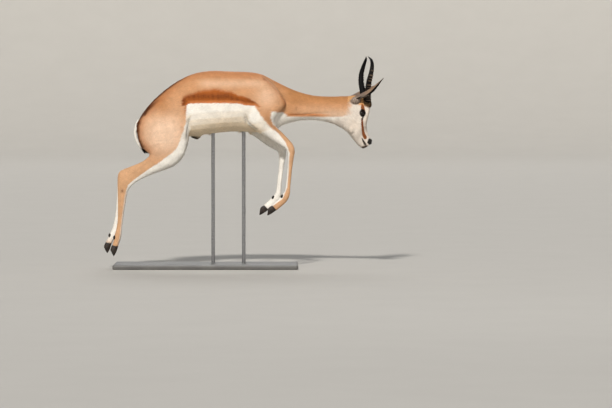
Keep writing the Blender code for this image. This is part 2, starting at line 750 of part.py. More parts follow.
HORN_LINE = (   # the left horn's middle line, in the head's own frame
    (0.786, 0.0225, 0.796),
    (0.786, 0.0310, 0.835),
    (0.784, 0.0450, 0.872),
    (0.783, 0.0620, 0.910),
    (0.789, 0.0760, 0.950),
    (0.798, 0.0680, 0.990),
    (0.801, 0.0440, 1.019),
    (0.794, 0.0140, 1.036),
)
HORN_RADII = (0.0195, 0.0160, 0.0138, 0.0128, 0.0115, 0.0092, 0.0064, 0.0012)
HORN_SIDES = 8
HORN_STEPS = 40               # points read from the middle line to each interval
HORN_DEPTH = 1.10             # of its section, front to back, to its radius
HORN_BREADTH = 0.92
RING_SHAPE = ((0.0, -0.05), (0.62, 0.08), (0.90, 0.07))   # share of a ring and its swelling
SMOOTH_ROWS = 7               # past the rings, out to the tip


def horn(name, side, parts):
    """A ringed horn: its radius swells at each ring and the rings end short of the tip."""
    line = smooth_line(HORN_LINE, HORN_STEPS)
    sizes = smooth_line([(radius, 0, 0) for radius in HORN_RADII], HORN_STEPS)
    rings = []
    last = len(line) - 1
    places = []
    for i in range(HORN_RINGS):
        for part, swelling in RING_SHAPE:
            places.append((RINGED_SHARE * (i + part) / HORN_RINGS, swelling))
    for i in range(SMOOTH_ROWS):
        places.append((RINGED_SHARE + (1 - RINGED_SHARE) * i / (SMOOTH_ROWS - 1), 0.0))
    for share, swelling in places:
        i = round(share * last)
        middle = line[i]
        along = (line[min(i + 1, last)] - line[max(i - 1, 0)]).normalized()
        ahead = (Vector((1, 0, 0)) - along * along.x).normalized()
        across = along.cross(ahead)
        radius = sizes[i].x * (1 + swelling)
        ring = []
        for j in range(HORN_SIDES):
            angle = 2 * math.pi * j / HORN_SIDES
            point = middle + radius * (HORN_DEPTH * math.cos(angle) * ahead
                                       + HORN_BREADTH * math.sin(angle) * across)
            ring.append(turned_head((point.x, side * point.y, point.z)))
        rings.append(ring)
    return object_from(name, lambda maker: bridge(maker, rings), parts, "horn")


EAR_LENGTH = 0.168
EAR_WIDTH = 0.033        # half the ear's breadth, laid flat, at its widest
EAR_TIP = 0.0024         # the least half breadth, at the tip
EAR_THICKNESS = 0.0026
EAR_AIMS = {             # where each ear points and where its cup opens, in the head's frame
    "right": (Vector((0.768, -0.360, 0.545)), Vector((0.56, -0.42, -0.60))),
    "left": (Vector((0.920, 0.175, 0.350)), Vector((0.30, 0.75, -0.60))),
}
EAR_BOW = 0.015          # how far an ear bows outwards halfway along
EAR_ARCH = 0.006         # and towards its opening
EAR_SEAT = 0.012         # how far behind its root the ear's back starts
EAR_ROWS = 11
EAR_COLUMNS = 7
ROOT_CURL = 150          # degrees to each side that the ear curls round at its root
TIP_CURL = 22


def ear_breadth(share):
    """Half the breadth along the ear: a narrow stalk, a leaf and a pointed tip."""
    leaf = math.sin(math.pi * min(1.0, 0.16 + 0.84 * share) ** 0.80) ** 0.85
    return max(EAR_WIDTH * leaf, EAR_TIP)


def ear(name, side, parts):
    """A leaf-shaped sheet that curls into a cup, given its thickness by Solidify."""
    aim, opening = EAR_AIMS[name.split("_")[1]]
    aim = aim.normalized()
    opening = (opening - aim * opening.dot(aim)).normalized()
    across = aim.cross(opening)
    root = on_side(EAR_ROOT, side)

    def fill(maker):
        grid = []
        for i in range(EAR_ROWS + 1):
            share = i / EAR_ROWS
            curl = math.radians(ROOT_CURL + (TIP_CURL - ROOT_CURL) * share ** 0.75)
            radius = ear_breadth(share) / curl
            arch = math.sin(math.pi * share)
            back = root + aim * (EAR_LENGTH * share) + opening * (EAR_ARCH * arch - EAR_SEAT)
            back.y += side * EAR_BOW * arch
            row = []
            for j in range(EAR_COLUMNS + 1):
                angle = curl * (2 * j / EAR_COLUMNS - 1)
                point = (back + opening * radius * (1 - math.cos(angle))
                         + across * radius * math.sin(angle))
                row.append(maker.verts.new(turned_head(point)))
            grid.append(row)
        for low, high in zip(grid, grid[1:]):
            for j in range(EAR_COLUMNS):
                maker.faces.new((low[j], low[j + 1], high[j + 1], high[j]))

    obj = object_from(name, fill, parts)
    solidify = obj.modifiers.new("thickness", "SOLIDIFY")
    solidify.thickness = EAR_THICKNESS
    solidify.offset = 0.0
    return outward(baked(obj))


TAIL_LINE = (
    (-0.298, 0.0, 0.742),
    (-0.3225, 0.0, 0.728),
    (-0.339, 0.0, 0.700),
    (-0.346, 0.0, 0.666),
    (-0.340, 0.0, 0.632),
    (-0.3245, 0.0, 0.601),
    (-0.304, 0.0, 0.578),
)
TAIL_RADII = (0.0105, 0.0098, 0.0088, 0.0082, 0.0076, 0.0072, 0.0062)
TUFT_LOCKS = 9
TUFT_LENGTH = 0.030
TUFT_VARIES = 0.005
TUFT_DROP = 0.25              # of its locks, to their length
TUFT_ROOT = Vector((-0.010, 0.0, 0.004))   # of its locks, from the tail's end
TUFT_SPREAD = 0.0060
TUFT_BREADTH = 0.0050
LOCK_STEPS = 4


def tapered_lock(name, root, tip, sag, breadth, collection):
    """A flat lock of hair: a tapering four-sided bar that bends from its root to its tip."""
    along = (tip - root).normalized()
    across = along.cross(Vector((0.3, 0.2, 1.0))).normalized()
    rings = []
    for i in range(LOCK_STEPS + 1):
        share = i / LOCK_STEPS
        size = breadth * (1 - share) ** 0.7 + 0.0004
        middle = root.lerp(tip, share) + sag * math.sin(math.pi * share)
        thick = along.cross(across) * size * 0.45
        rings.append([middle + across * size, middle + thick,
                      middle - across * size, middle - thick])
    return object_from(name, lambda maker: bridge(maker, rings), collection)


def tail(parts):
    """The thin tail hangs along the rump and ends in a tuft of locks."""
    line = smooth_line(TAIL_LINE, 4)
    sizes = smooth_line([(radius, 0, 0) for radius in TAIL_RADII], 4)
    stem = tube("tail", line, 1.0, parts, 1, [size.x for size in sizes])
    pieces = [stem]
    end = Vector(TAIL_LINE[-1])
    for i in range(TUFT_LOCKS):
        angle = 2 * math.pi * i / TUFT_LOCKS
        spread = Vector((0.0, math.cos(angle), 0.6 * math.sin(angle)))
        length = TUFT_LENGTH + TUFT_VARIES * math.cos(3.0 * i)
        root = end + TUFT_ROOT + spread * (TUFT_SPREAD * 0.6)
        tip = end + Vector((length, 0.0, -TUFT_DROP * length)) + spread * TUFT_SPREAD
        sag = spread * (TUFT_SPREAD / 2)
        pieces.append(tapered_lock(f"tuft_{i}", root, tip, sag, TUFT_BREADTH, parts))
    return largest_only(joined("tail", pieces))


# A claw's ribs in a foot's own frame: x runs down to the toe and z to the front of the hoof.
CLAW = (
    Rib((0.0003, 0.0150), (0.0003, -0.0150), 0.0074, 0.0, 0.45, 2.2),
    Rib((0.0120, 0.0140), (0.0070, -0.0175), 0.0082, 0.0, 0.42, 2.2),
    Rib((0.0300, 0.0110), (0.0160, -0.0190), 0.0080, 0.0, 0.38, 2.1),
    Rib((0.0440, 0.0070), (0.0225, -0.0190), 0.0072, 0.0, 0.35, 2.0),
    Rib((0.0520, 0.0030), (0.0265, -0.0170), 0.0058, 0.0, 0.33, 2.0),
)


CLAW_SPLAY = 0.10             # how much the claws part towards the toe
DEWCLAW_RADII = (0.0068, 0.0058, 0.0105)
DEWCLAW_SPREAD = 0.0088       # from the foot's middle
DEWCLAW_DROP = 0.008          # below the fetlock's back
DEWCLAW_DEPTH = 0.002         # of its middle under the skin


def foot_frame(coronet, end):
    """A foot's middle, its way to the toe and its way to the front, from its two last ribs."""
    upper, lower = Vector(coronet.upper), Vector(coronet.lower)
    middle = (upper + lower) / 2
    front = (upper - lower).normalized()
    toe = Vector((front.y, -front.x))
    if toe.dot((Vector(end.upper) + Vector(end.lower)) / 2 - middle) < 0:
        toe = -toe
    return (Vector((middle.x, coronet.y, middle.y)), Vector((toe.x, 0, toe.y)),
            Vector((front.x, 0, front.y)))


def claws(label, coronet, end, parts):
    middle, toe, front = foot_frame(coronet, end)
    for way, which in ((-1, "right"), (1, "left")):
        def place(point, way=way):
            splay = way * (CLAW_SPREAD + CLAW_SPLAY * point.x)
            return (middle + toe * point.x + front * point.z
                    + Vector((0, splay + point.y, 0)))

        loft(f"{label}_claw_{which}", CLAW, 10, 1, parts, place, "hoof")


def dewclaws(label, fetlock, shells, parts):
    """The two small claws behind a fetlock, cut clear of the leg."""
    upper, lower = Vector(fetlock.upper), Vector(fetlock.lower)
    back = (lower - upper).normalized()
    down = Vector((back.y, -back.x))
    if down.y > 0:
        down = -down
    place = lower + down * DEWCLAW_DROP - back * DEWCLAW_DEPTH
    for way, which in ((-1, "right"), (1, "left")):
        middle = Vector((place.x, fetlock.y + way * DEWCLAW_SPREAD, place.y))
        tilt = math.atan2(down.x, -down.y)
        claw = ellipsoid(
            f"{label}_dewclaw_{which}", middle, DEWCLAW_RADII, parts, -tilt, 10, "hoof")
        cut_clear(claw, shells)


def feet(shells, parts):
    for side in (-1, 1):
        name = "left" if side > 0 else "right"
        fore = leg_ribs(FORELEG, FORE_SHIFTS, side)
        hind = leg_ribs(HINDLEG, HIND_SHIFTS, side)
        claws("fore_" + name, *fore[FORE_CORONET:], parts)
        claws("hind_" + name, *hind[HIND_CORONET:], parts)
        dewclaws("fore_" + name, fore[FORE_FETLOCK], shells, parts)
        dewclaws("hind_" + name, hind[HIND_FETLOCK], shells, parts)


# The display stand

RAY_START = 0.1               # the height from which the belly over a rod is looked for
SOCKET_OVERLAP = 0.05         # how far the cutter of a socket starts below the belly


def stand(torso, parts, cutters):
    def fill(maker):
        size = Matrix.Diagonal((STAND_LENGTH, STAND_WIDTH, STAND_THICKNESS, 1))
        lift = Matrix.Translation((0, 0, STAND_THICKNESS / 2))
        bmesh.ops.create_cube(maker, size=1.0, matrix=lift @ size)

    board = object_from("stand_base", fill, parts, "stand_board")
    bevel = board.modifiers.new("edge", "BEVEL")
    bevel.width = STAND_CORNER
    bevel.segments = 2
    for i, x in enumerate(ROD_PLACES):
        _, point, _, _ = torso.ray_cast(Vector((x, 0, RAY_START)), Vector((0, 0, 1)))
        bottom = STAND_THICKNESS + GAP
        top = point.z + ROD_SOCKET

        def rod(maker, radius=ROD_RADIUS, low=bottom, high=top):
            bmesh.ops.create_cone(
                maker, cap_ends=True, segments=ROD_SIDES, radius1=radius, radius2=radius,
                depth=high - low, matrix=Matrix.Translation((x, 0, (low + high) / 2)))

        object_from(f"stand_rod_{i + 1}", rod, parts, "stand_rod")
        socket = object_from(
            "socket",
            lambda maker: rod(maker, ROD_RADIUS + GAP, point.z - SOCKET_OVERLAP, top + GAP),
            cutters)
        cut(torso, socket)


def main():
    clear_scene()
    parts = collection_named("springbok")
    cutters = collection_named("cutters")
    flesh = joined("flesh", [body_form(parts), *head_pieces(parts)])
    thinned(blended(flesh, HEAD_VOXEL, HEAD_SMOOTHING), EVEN_TRIANGLES)
    thinned(flesh, FLESH_TRIANGLES, lambda point: point.x < FINE_FROM)
    shells = [swell(flesh, "shell", amount) for amount in SHELL_DEPTHS]
    carve_head(flesh, cutters)
    nodes = part_flesh(flesh, parts, cutters)
    for side in (-1, 1):
        name = "left" if side > 0 else "right"
        eye = on_side(EYE_MIDDLE, side)
        sphere_at("eye_" + name, turned_head(eye), EYE_RADIUS, parts)
        for piece in (horn("horn_" + name, side, parts), ear("ear_" + name, side, parts)):
            cut_clear(piece, shells)
    cut_clear(tail(parts), shells)
    feet(shells, parts)
    for shell in shells:
        bpy.data.objects.remove(shell)
    stand(nodes["torso"], parts, cutters)
    for obj in parts.objects:
        obj.data.shade_smooth()
        obj.data.set_sharp_from_angle(angle=SHARP_ANGLE)


main()
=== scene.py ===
"""The looks of the springbok: skin, coat, eyes, horns, hooves, stand, light and camera."""

import math

import bmesh
import bpy
import numpy as np
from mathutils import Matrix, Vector
from mathutils.bvhtree import BVHTree


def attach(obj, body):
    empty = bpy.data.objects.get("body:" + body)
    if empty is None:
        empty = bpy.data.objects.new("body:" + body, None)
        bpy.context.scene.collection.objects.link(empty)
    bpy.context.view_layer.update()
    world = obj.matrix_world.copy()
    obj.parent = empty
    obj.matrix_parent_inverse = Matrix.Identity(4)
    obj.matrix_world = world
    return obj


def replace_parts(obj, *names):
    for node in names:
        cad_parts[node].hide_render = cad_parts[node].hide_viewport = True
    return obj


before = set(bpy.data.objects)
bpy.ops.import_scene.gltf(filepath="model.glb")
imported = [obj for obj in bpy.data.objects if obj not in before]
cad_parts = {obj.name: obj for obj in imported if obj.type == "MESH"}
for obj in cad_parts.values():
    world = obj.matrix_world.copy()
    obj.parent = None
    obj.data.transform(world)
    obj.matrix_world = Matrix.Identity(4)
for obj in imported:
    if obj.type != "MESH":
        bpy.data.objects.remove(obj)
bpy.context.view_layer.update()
random = np.random.default_rng(7)

# Sizes and places, in metres
HEAD_TURN = math.radians(17)
HEAD_PIVOT = np.array((0.69, 0.0, 0.0))
HEAD_VOXEL = 0.0013
BODY_VOXEL = 0.0033
HOOF_VOXEL = 0.0010
FORE_FETLOCK = 0.36       # below it the folded feet's coat turns back
LIE_ROUNDS = 40           # of smoothing of the way the coat lies
SIDES = (("left", 1.0), ("right", -1.0))
SWELL = 0.0006            # closes the thin cuts between the CAD nodes before the remesh
NECK_CUT = 0.60           # where the fine head skin is bridged to the body's
NECK_GAP = 0.0015         # between the two skins before the bridge
TUFTS = 195000
PIECE_TUFTS = 30000       # of one coat piece, six triangles each

EYE_MIDDLE = np.array((0.7535, 0.0370, 0.7580))
EYE_RADIUS = 0.0168
EYE_GAZE = np.array((0.22, 1.0, 0.05))
LID_DOWN = np.array((0.28, 0.0, -1.0))
LID_LENGTH = 0.0300
LID_HEIGHT = 0.0240
EAR_ROOT = np.array((0.722, 0.046, 0.829))
EAR_LENGTH = 0.168
EAR_AIMS = {
    "right": ((0.768, -0.360, 0.545), (0.56, -0.42, -0.60)),
    "left": ((0.920, 0.175, 0.350), (0.30, 0.75, -0.60)),
}
MOUTH_LINE = ((0.7600, 0.0300, 0.6350), (0.7670, 0.0265, 0.6220), (0.7760, 0.0225, 0.6090),
              (0.7870, 0.0120, 0.5970), (0.7900, 0.0, 0.5940))
NOSTRIL_LINE = ((0.8180, 0.0080, 0.6125), (0.8120, 0.0180, 0.6165), (0.8020, 0.0240, 0.6235))
HORN_LINE = ((0.786, 0.0225, 0.796), (0.786, 0.0310, 0.835), (0.784, 0.0450, 0.872),
             (0.783, 0.0620, 0.910), (0.789, 0.0760, 0.950), (0.798, 0.0680, 0.990),
             (0.801, 0.0440, 1.019), (0.794, 0.0140, 1.036))
HORN_RADII = (0.0195, 0.0160, 0.0138, 0.0128, 0.0115, 0.0092, 0.0064, 0.0012)
TAIL_LINE = ((-0.298, 0, 0.742), (-0.3225, 0, 0.728), (-0.339, 0, 0.700), (-0.346, 0, 0.666),
             (-0.340, 0, 0.632), (-0.3245, 0, 0.601), (-0.304, 0, 0.578))
SHEATH_MIDDLE = (-0.043, 0, 0.642)

# How far the left legs lie from the right ones in the side view, by height.
HIND_HEIGHTS = (0.08, 0.13, 0.20, 0.26, 0.34, 0.40, 0.48, 0.55)
HIND_SHIFT_X = (-0.041, -0.033, -0.023, -0.017, -0.010, -0.005, -0.002, 0.0)
FORE_HEIGHTS = (0.27, 0.35, 0.44, 0.58, 0.62, 0.65, 0.70, 0.76, 0.84)
FORE_SHIFT_X = (-0.038, -0.043, -0.045, -0.042, -0.036, -0.028, -0.014, -0.006, 0.0)

# Boundaries of the coat's markings in the side view, x and z in metres.
STRIPE_TOP = ((-0.108, 0.800), (-0.110, 0.823), (-0.089, 0.846), (-0.050, 0.863), (0.005, 0.877),
              (0.062, 0.878), (0.1245, 0.868), (0.181, 0.849), (0.216, 0.833), (0.258, 0.808))
STRIPE_LOW = ((-0.108, 0.796), (-0.094, 0.800), (-0.078, 0.807), (-0.036, 0.8095),
              (0.0475, 0.8105), (0.120, 0.810), (0.170, 0.808), (0.201, 0.800), (0.237, 0.799),
              (0.262, 0.793))
HIND_EDGE = ((-0.077, 0.808), (-0.086, 0.794), (-0.088, 0.767), (-0.0895, 0.723),
             (-0.101, 0.676), (-0.118, 0.634), (-0.142, 0.588), (-0.192, 0.548),
             (-0.235, 0.515), (-0.295, 0.474), (-0.344, 0.438), (-0.374, 0.413),
             (-0.386, 0.388), (-0.393, 0.350), (-0.396, 0.300), (-0.399, 0.20), (-0.40, 0.05))
FORE_EDGE = ((0.236, 0.806), (0.2499, 0.789), (0.2783, 0.751), (0.3141, 0.706),
             (0.3504, 0.669), (0.3866, 0.624), (0.4047, 0.579), (0.4092, 0.568),
             (0.4060, 0.48), (0.3990, 0.40), (0.3780, 0.345), (0.3330, 0.310),
             (0.2980, 0.278), (0.27, 0.25))
CHEST_PATCH = ((0.330, 0.771), (0.378, 0.769), (0.402, 0.752), (0.402, 0.700), (0.359, 0.676),
               (0.335, 0.704), (0.323, 0.740))
RUMP_RIM = ((-0.010, 0.966), (-0.036, 0.960), (-0.120, 0.921), (-0.190, 0.872), (-0.240, 0.827),
            (-0.2885, 0.785), (-0.320, 0.750), (-0.334, 0.704), (-0.334, 0.648),
            (-0.320, 0.613), (-0.295, 0.585))
RIM_SHARES = (0.0, 0.2, 0.5, 0.65, 0.8, 0.9, 1.0)
RIM_WHITE = (0.001, 0.003, 0.008, 0.020, 0.032, 0.028, 0.016)    # half width of the white
RIM_FULL = (0.008, 0.018, 0.022, 0.034, 0.042, 0.040, 0.030)     # out to here it is brown
RIM_FADED = (0.030, 0.046, 0.046, 0.056, 0.062, 0.060, 0.052)    # and here it has faded
THROAT_PLACES = (0.30, 0.40, 0.46, 0.53, 0.58, 0.66)   # lower edge of the neck's tan
THROAT_HEIGHTS = (0.744, 0.744, 0.742, 0.742, 0.740, 0.742)
# In the head's own frame
FACE_EDGE = ((0.715, 0.850), (0.700, 0.800), (0.700, 0.768), (0.684, 0.745), (0.656, 0.733),
             (0.632, 0.722), (0.59, 0.714))
FACE_STRIPE = ((0.7545, 0.7290), (0.7556, 0.7000), (0.7612, 0.6750), (0.7690, 0.6520),
               (0.7775, 0.6390))
SPOT_HEIGHTS = (0.766, 0.780, 0.790, 0.798, 0.803)
SPOT_WIDTHS = (0.0112, 0.0102, 0.0086, 0.0050, -0.001)
TEAR_LINE = ((0.7635, 0.749), (0.7590, 0.738), (0.7548, 0.727))
NOSE_MIDDLE = np.array((0.8050, 0.6180))
EAR_GROUND = EAR_ROOT - (0, 0, 0.006)


def srgb(red, green, blue):
    """A colour given in 0 to 255 as linear light."""
    c = np.array((red, green, blue)) / 255.0
    return np.where(c <= 0.04045, c / 12.92, ((c + 0.055) / 1.055) ** 2.4)


TAN = srgb(205, 151, 107)
TAN_PALE = srgb(238, 203, 173)
TAN_BACK = srgb(200, 132, 84)
TAN_NECK = srgb(186, 130, 82)
TAN_LEG = srgb(218, 175, 136)
RUMP_BROWN = srgb(88, 40, 11)
STRIPE = srgb(174, 92, 26)
STRIPE_DARK = srgb(108, 48, 10)
STRIPE_EDGE = srgb(212, 132, 76)
WHITE = srgb(247, 241, 231)
WHITE_WARM = srgb(230, 211, 190)
BELLY_UNDERSIDE_SHADE = srgb(242, 218, 182)
FACE_WHITE = srgb(228, 216, 203)
FACE_BROWN = srgb(140, 74, 20)
FOREHEAD = srgb(74, 55, 32)
SHEATH = srgb(44, 30, 22)
MOUTH_BROWN = srgb(84, 62, 46)
BLACK = srgb(12, 10, 9)
EAR_GREY = srgb(134, 116, 104)
EAR_BROWN = srgb(160, 128, 98)
EAR_CUP_SHADE = srgb(28, 22, 20)
EAR_TIP = srgb(120, 96, 72)
EAR_RIM = srgb(176, 160, 142)
CROWN_TAN = srgb(216, 162, 106)
HORN_BLACK = srgb(15, 13, 13)
HORN_TIP = srgb(10, 10, 12)
HORN_RING_WEAR_AND_HIGHLIGHT = srgb(160, 136, 114)
PUPIL = srgb(3, 3, 4)
IRIS = srgb(26, 15, 9)
IRIS_RIM = srgb(12, 8, 6)
EYE_FRONT = srgb(6, 5, 5)
EYE_SIDE = srgb(24, 18, 15)
EYE_BACK = srgb(30, 22, 18)
HOOF_COLOURS = (srgb(24, 19, 17), srgb(70, 57, 47))
BOARD_COLOURS = (srgb(92, 90, 87), srgb(106, 104, 100))
ROD_COLOURS = (srgb(168, 168, 170), srgb(184, 184, 186))
FLOOR_COLOURS = (srgb(193, 189, 182), srgb(199, 195, 188))


# Small helpers
def unit(v):
    """Vectors scaled to a length of 1."""
    v = np.asarray(v, float)
    return v / np.maximum(np.linalg.norm(v, axis=-1, keepdims=True), 1e-9)


def ease(low, high, value):
    """0 up to low and 1 from high on, with a smooth rise between; high may be the lesser."""
    t = np.clip((value - low) / (high - low), 0.0, 1.0)
    return t * t * (3 - 2 * t)


def turned(points, by=HEAD_TURN):
    """Points of the head's own frame in the world, or back with by negative."""
    c, s = math.cos(by), math.sin(by)
    x, y, z = np.moveaxis(np.asarray(points, float) - HEAD_PIVOT, -1, 0)
    return np.stack((c * x - s * y, s * x + c * y, z), -1) + HEAD_PIVOT


def turned_way(ways, by=HEAD_TURN):
    return turned(np.asarray(ways, float) + HEAD_PIVOT, by) - HEAD_PIVOT


def nearest_on(points, line):
    """Distance to an open line and the share along it, for 2-D or 3-D points."""
    line = np.asarray(line, float)
    ends = np.linalg.norm(np.diff(line, axis=0), axis=1)
    starts = np.concatenate(([0], np.cumsum(ends)))[:-1]
    best = np.full(len(points), 1e9)
    share = np.zeros(len(points))
    sign = np.ones(len(points))
    for a, b, start, length in zip(line[:-1], line[1:], starts, ends):
        t = np.clip((points - a) @ (b - a) / length**2, 0, 1)
        off = points - (a + t[:, None] * (b - a))
        d = np.linalg.norm(off, axis=1)
        closer = d < best
        best[closer] = d[closer]
        share[closer] = (start + t[closer] * length) / ends.sum()
        if line.shape[1] == 2:
            side = (b - a)[0] * off[:, 1] - (b - a)[1] * off[:, 0]
            sign[closer] = np.where(side[closer] >= 0, 1, -1)
    return best, share, sign


def left_of(flat, line):
    """Signed distance, positive on the left of a line in the side view."""
    d, _, sign = nearest_on(flat, line)
    return d * sign


def inside(flat, outline):
    """Signed distance to a closed outline in the side view, positive inside it."""
    x, z = flat.T
    corners = np.array(outline, float)
    d, _, _ = nearest_on(flat, np.concatenate((corners, corners[:1])))
    within = np.zeros(len(x), bool)
    for (ax, az), (bx, bz) in zip(corners, np.roll(corners, -1, 0)):
        crosses = (az > z) != (bz > z)
        at = (bx - ax) * (z - az) / np.where(bz == az, 1.0, bz - az) + ax
        within ^= crosses & (x < at)
    return np.where(within, d, -d)


def blob(x, z, place, reach):
    """1 at a place of the side view, and less with the distance from it."""
    return np.exp(-(((x - place[0]) / reach[0]) ** 2 + ((z - place[1]) / reach[1]) ** 2))


def mix(base, colour, share):
    """The base where the share is 0, and the colour where it is 1."""
    return base + (np.asarray(colour) - base) * np.asarray(share)[:, None]


def new_object(name, data):
    obj = bpy.data.objects.new(name, data)
    bpy.context.scene.collection.objects.link(obj)
    return obj


def mesh_object(name, points, faces):
    mesh = bpy.data.meshes.new(name)
    mesh.from_pydata([tuple(p) for p in points], [], [tuple(f) for f in faces])
    mesh.update()
    return new_object(name, mesh)


def vectors_of(items, key, width=3, kind=np.float32):
    """One value of every point, edge or triangle of a mesh, a row to each."""
    found = np.empty(len(items) * width, kind)
    items.foreach_get(key, found)
    return found.reshape(-1, width)


def points_of(mesh):
    return vectors_of(mesh.vertices, "co").astype(float)


def normals_of(mesh):
    return vectors_of(mesh.vertices, "normal").astype(float)


def edges_of(mesh):
    return vectors_of(mesh.edges, "vertices", 2, np.int32)


def set_points(mesh, points):
    mesh.vertices.foreach_set("co", np.asarray(points, np.float32).ravel())
    mesh.update()


def smooth_faces(mesh):
    mesh.polygons.foreach_set("use_smooth", np.ones(len(mesh.polygons), bool))


def paint(mesh, colours):
    layer = mesh.color_attributes.new("Coat", "FLOAT_COLOR", "POINT")
    data = np.ones((len(mesh.vertices), 4), np.float32)
    data[:, :3] = colours
    layer.data.foreach_set("color", data.ravel())


def surfaced(obj, mat, colours=None):
    """Gives a piece smooth shading, its material and, where it has them, its painted colours."""
    smooth_faces(obj.data)
    if colours is not None:
        paint(obj.data, colours)
    obj.data.materials.append(mat)


def set_value(mesh, name, values):
    layer = mesh.attributes.new(name, "FLOAT", "POINT")
    layer.data.foreach_set("value", np.asarray(values, np.float32))


def turn_faces_out(obj):
    mesh = bmesh.new()
    mesh.from_mesh(obj.data)
    bmesh.ops.recalc_face_normals(mesh, faces=mesh.faces)
    mesh.to_mesh(obj.data)
    mesh.free()


def gathered(nodes, swell=0.0):
    """Points and faces of CAD nodes, swollen by this much, and the node that each face is of."""
    points, faces, owner = [], [], []
    for index, node in enumerate(nodes):
        mesh = bmesh.new()
        mesh.from_mesh(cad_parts[node].data)
        bmesh.ops.remove_doubles(mesh, verts=mesh.verts, dist=1e-6)
        bmesh.ops.recalc_face_normals(mesh, faces=mesh.faces)
        mesh.normal_update()
        start = len(points)
        points += [v.co + v.normal * swell for v in mesh.verts]
        faces += [[v.index + start for v in f.verts] for f in mesh.faces]
        owner += [index] * len(mesh.faces)
        mesh.free()
    return points, faces, owner


def remeshed(name, nodes, swell, voxel):
    """CAD nodes as one closed mesh of even small faces."""
    points, faces, _ = gathered(nodes, swell)
    obj = mesh_object(name, points, faces)
    modifier = obj.modifiers.new("voxels", "REMESH")
    modifier.mode = "VOXEL"
    modifier.voxel_size = voxel
    modifier.adaptivity = 0.0
    graph = bpy.context.evaluated_depsgraph_get()
    mesh = bpy.data.meshes.new_from_object(obj.evaluated_get(graph))
    obj.modifiers.clear()
    obj.data = mesh
    return obj


def averaged(values, ends):
    """Each point's mean of its neighbours' values."""
    out = np.zeros_like(values)
    count = len(values)
    number = np.bincount(ends.ravel(), minlength=count)[:, None]
    for axis in range(values.shape[1]):
        out[:, axis] = np.bincount(ends[:, 0], values[ends[:, 1], axis], count)
        out[:, axis] += np.bincount(ends[:, 1], values[ends[:, 0], axis], count)
    return out / np.maximum(number, 1)


def relaxed(points, ends, rounds, share=None):
    """Smoothing that keeps the volume: each inward step is followed by an outward one."""
    for _ in range(rounds):
        for factor in (0.60, -0.62):
            step = (averaged(points, ends) - points) * factor
            points = points + (step if share is None else step * share[:, None])
    return points


# The skin
BODY_NODES = ["torso", "neck", "tail"] + [
    f"{part}_{side}" for side in ("left", "right")
    for part in ("forearm", "fore_cannon", "thigh", "shank", "hind_cannon")]
HEAD_NODES = ["neck", "head", "ear_left", "ear_right"]
FLESH = BODY_NODES + HEAD_NODES[1:]


def half(obj, keep_front, at):
    """The part of a mesh in front of a cut across it, or behind it."""
    mesh = bmesh.new()
    mesh.from_mesh(obj.data)
    bmesh.ops.bisect_plane(
        mesh, geom=mesh.verts[:] + mesh.edges[:] + mesh.faces[:], dist=1e-7,
        plane_co=(at, 0, 0), plane_no=(1, 0, 0),
        clear_inner=keep_front, clear_outer=not keep_front)
    return mesh


def make_skin():
    """The fine skin of the head joined to the coarser one of the body, without a seam."""
    body = remeshed("body_flesh", BODY_NODES, SWELL, BODY_VOXEL)
    head = remeshed("head_flesh", HEAD_NODES, SWELL, HEAD_VOXEL)
    rear = half(body, False, NECK_CUT)
    front = half(head, True, NECK_CUT + NECK_GAP)
    scratch = bpy.data.meshes.new("front")
    front.to_mesh(scratch)
    front.free()
    rear.from_mesh(scratch)
    rims = [e for e in rear.edges if len(e.link_faces) == 1]
    bmesh.ops.bridge_loops(rear, edges=rims)
    bmesh.ops.recalc_face_normals(rear, faces=rear.faces)
    mesh = bpy.data.meshes.new("skin")
    rear.to_mesh(mesh)
    rear.free()
    skin = new_object("skin", mesh)
    for obj in (body, head):
        bpy.data.objects.remove(obj)
    return skin


def part_labels(points):
    """The CAD node that each point lies nearest to, as an index in FLESH."""
    corners, faces, owner = gathered(FLESH)
    tree = BVHTree.FromPolygons(corners, faces)
    return np.array([owner[tree.find_nearest(p)[2]] for p in points.tolist()])


def is_part(labels, *names):
    """Which labels are of nodes whose names start with one of these."""
    wanted = [i for i, n in enumerate(FLESH) if any(n.startswith(m) for m in names)]
    return np.isin(labels, wanted)


def own_frame(points):
    """Points in the frame where the head looks straight ahead, eased in along the neck."""
    share = ease(0.61, 0.69, points[:, 0])[:, None]
    return points * (1 - share) + turned(points, -HEAD_TURN) * share


def one_sided(own):
    """Points of the head's own frame with its right half laid over its left."""
    return np.stack((own[:, 0], np.abs(own[:, 1]), own[:, 2]), 1)


def leg_frame(points, labels):
    """Side-view places with the left legs moved onto the right ones."""
    x = points[:, 0].copy()
    left = points[:, 1] > 0
    hind = is_part(labels, "thigh", "shank", "hind") & left
    fore = is_part(labels, "fore") & left
    x[hind] -= np.interp(points[hind, 2], HIND_HEIGHTS, HIND_SHIFT_X)
    x[fore] -= np.interp(points[fore, 2], FORE_HEIGHTS, FORE_SHIFT_X)
    return x


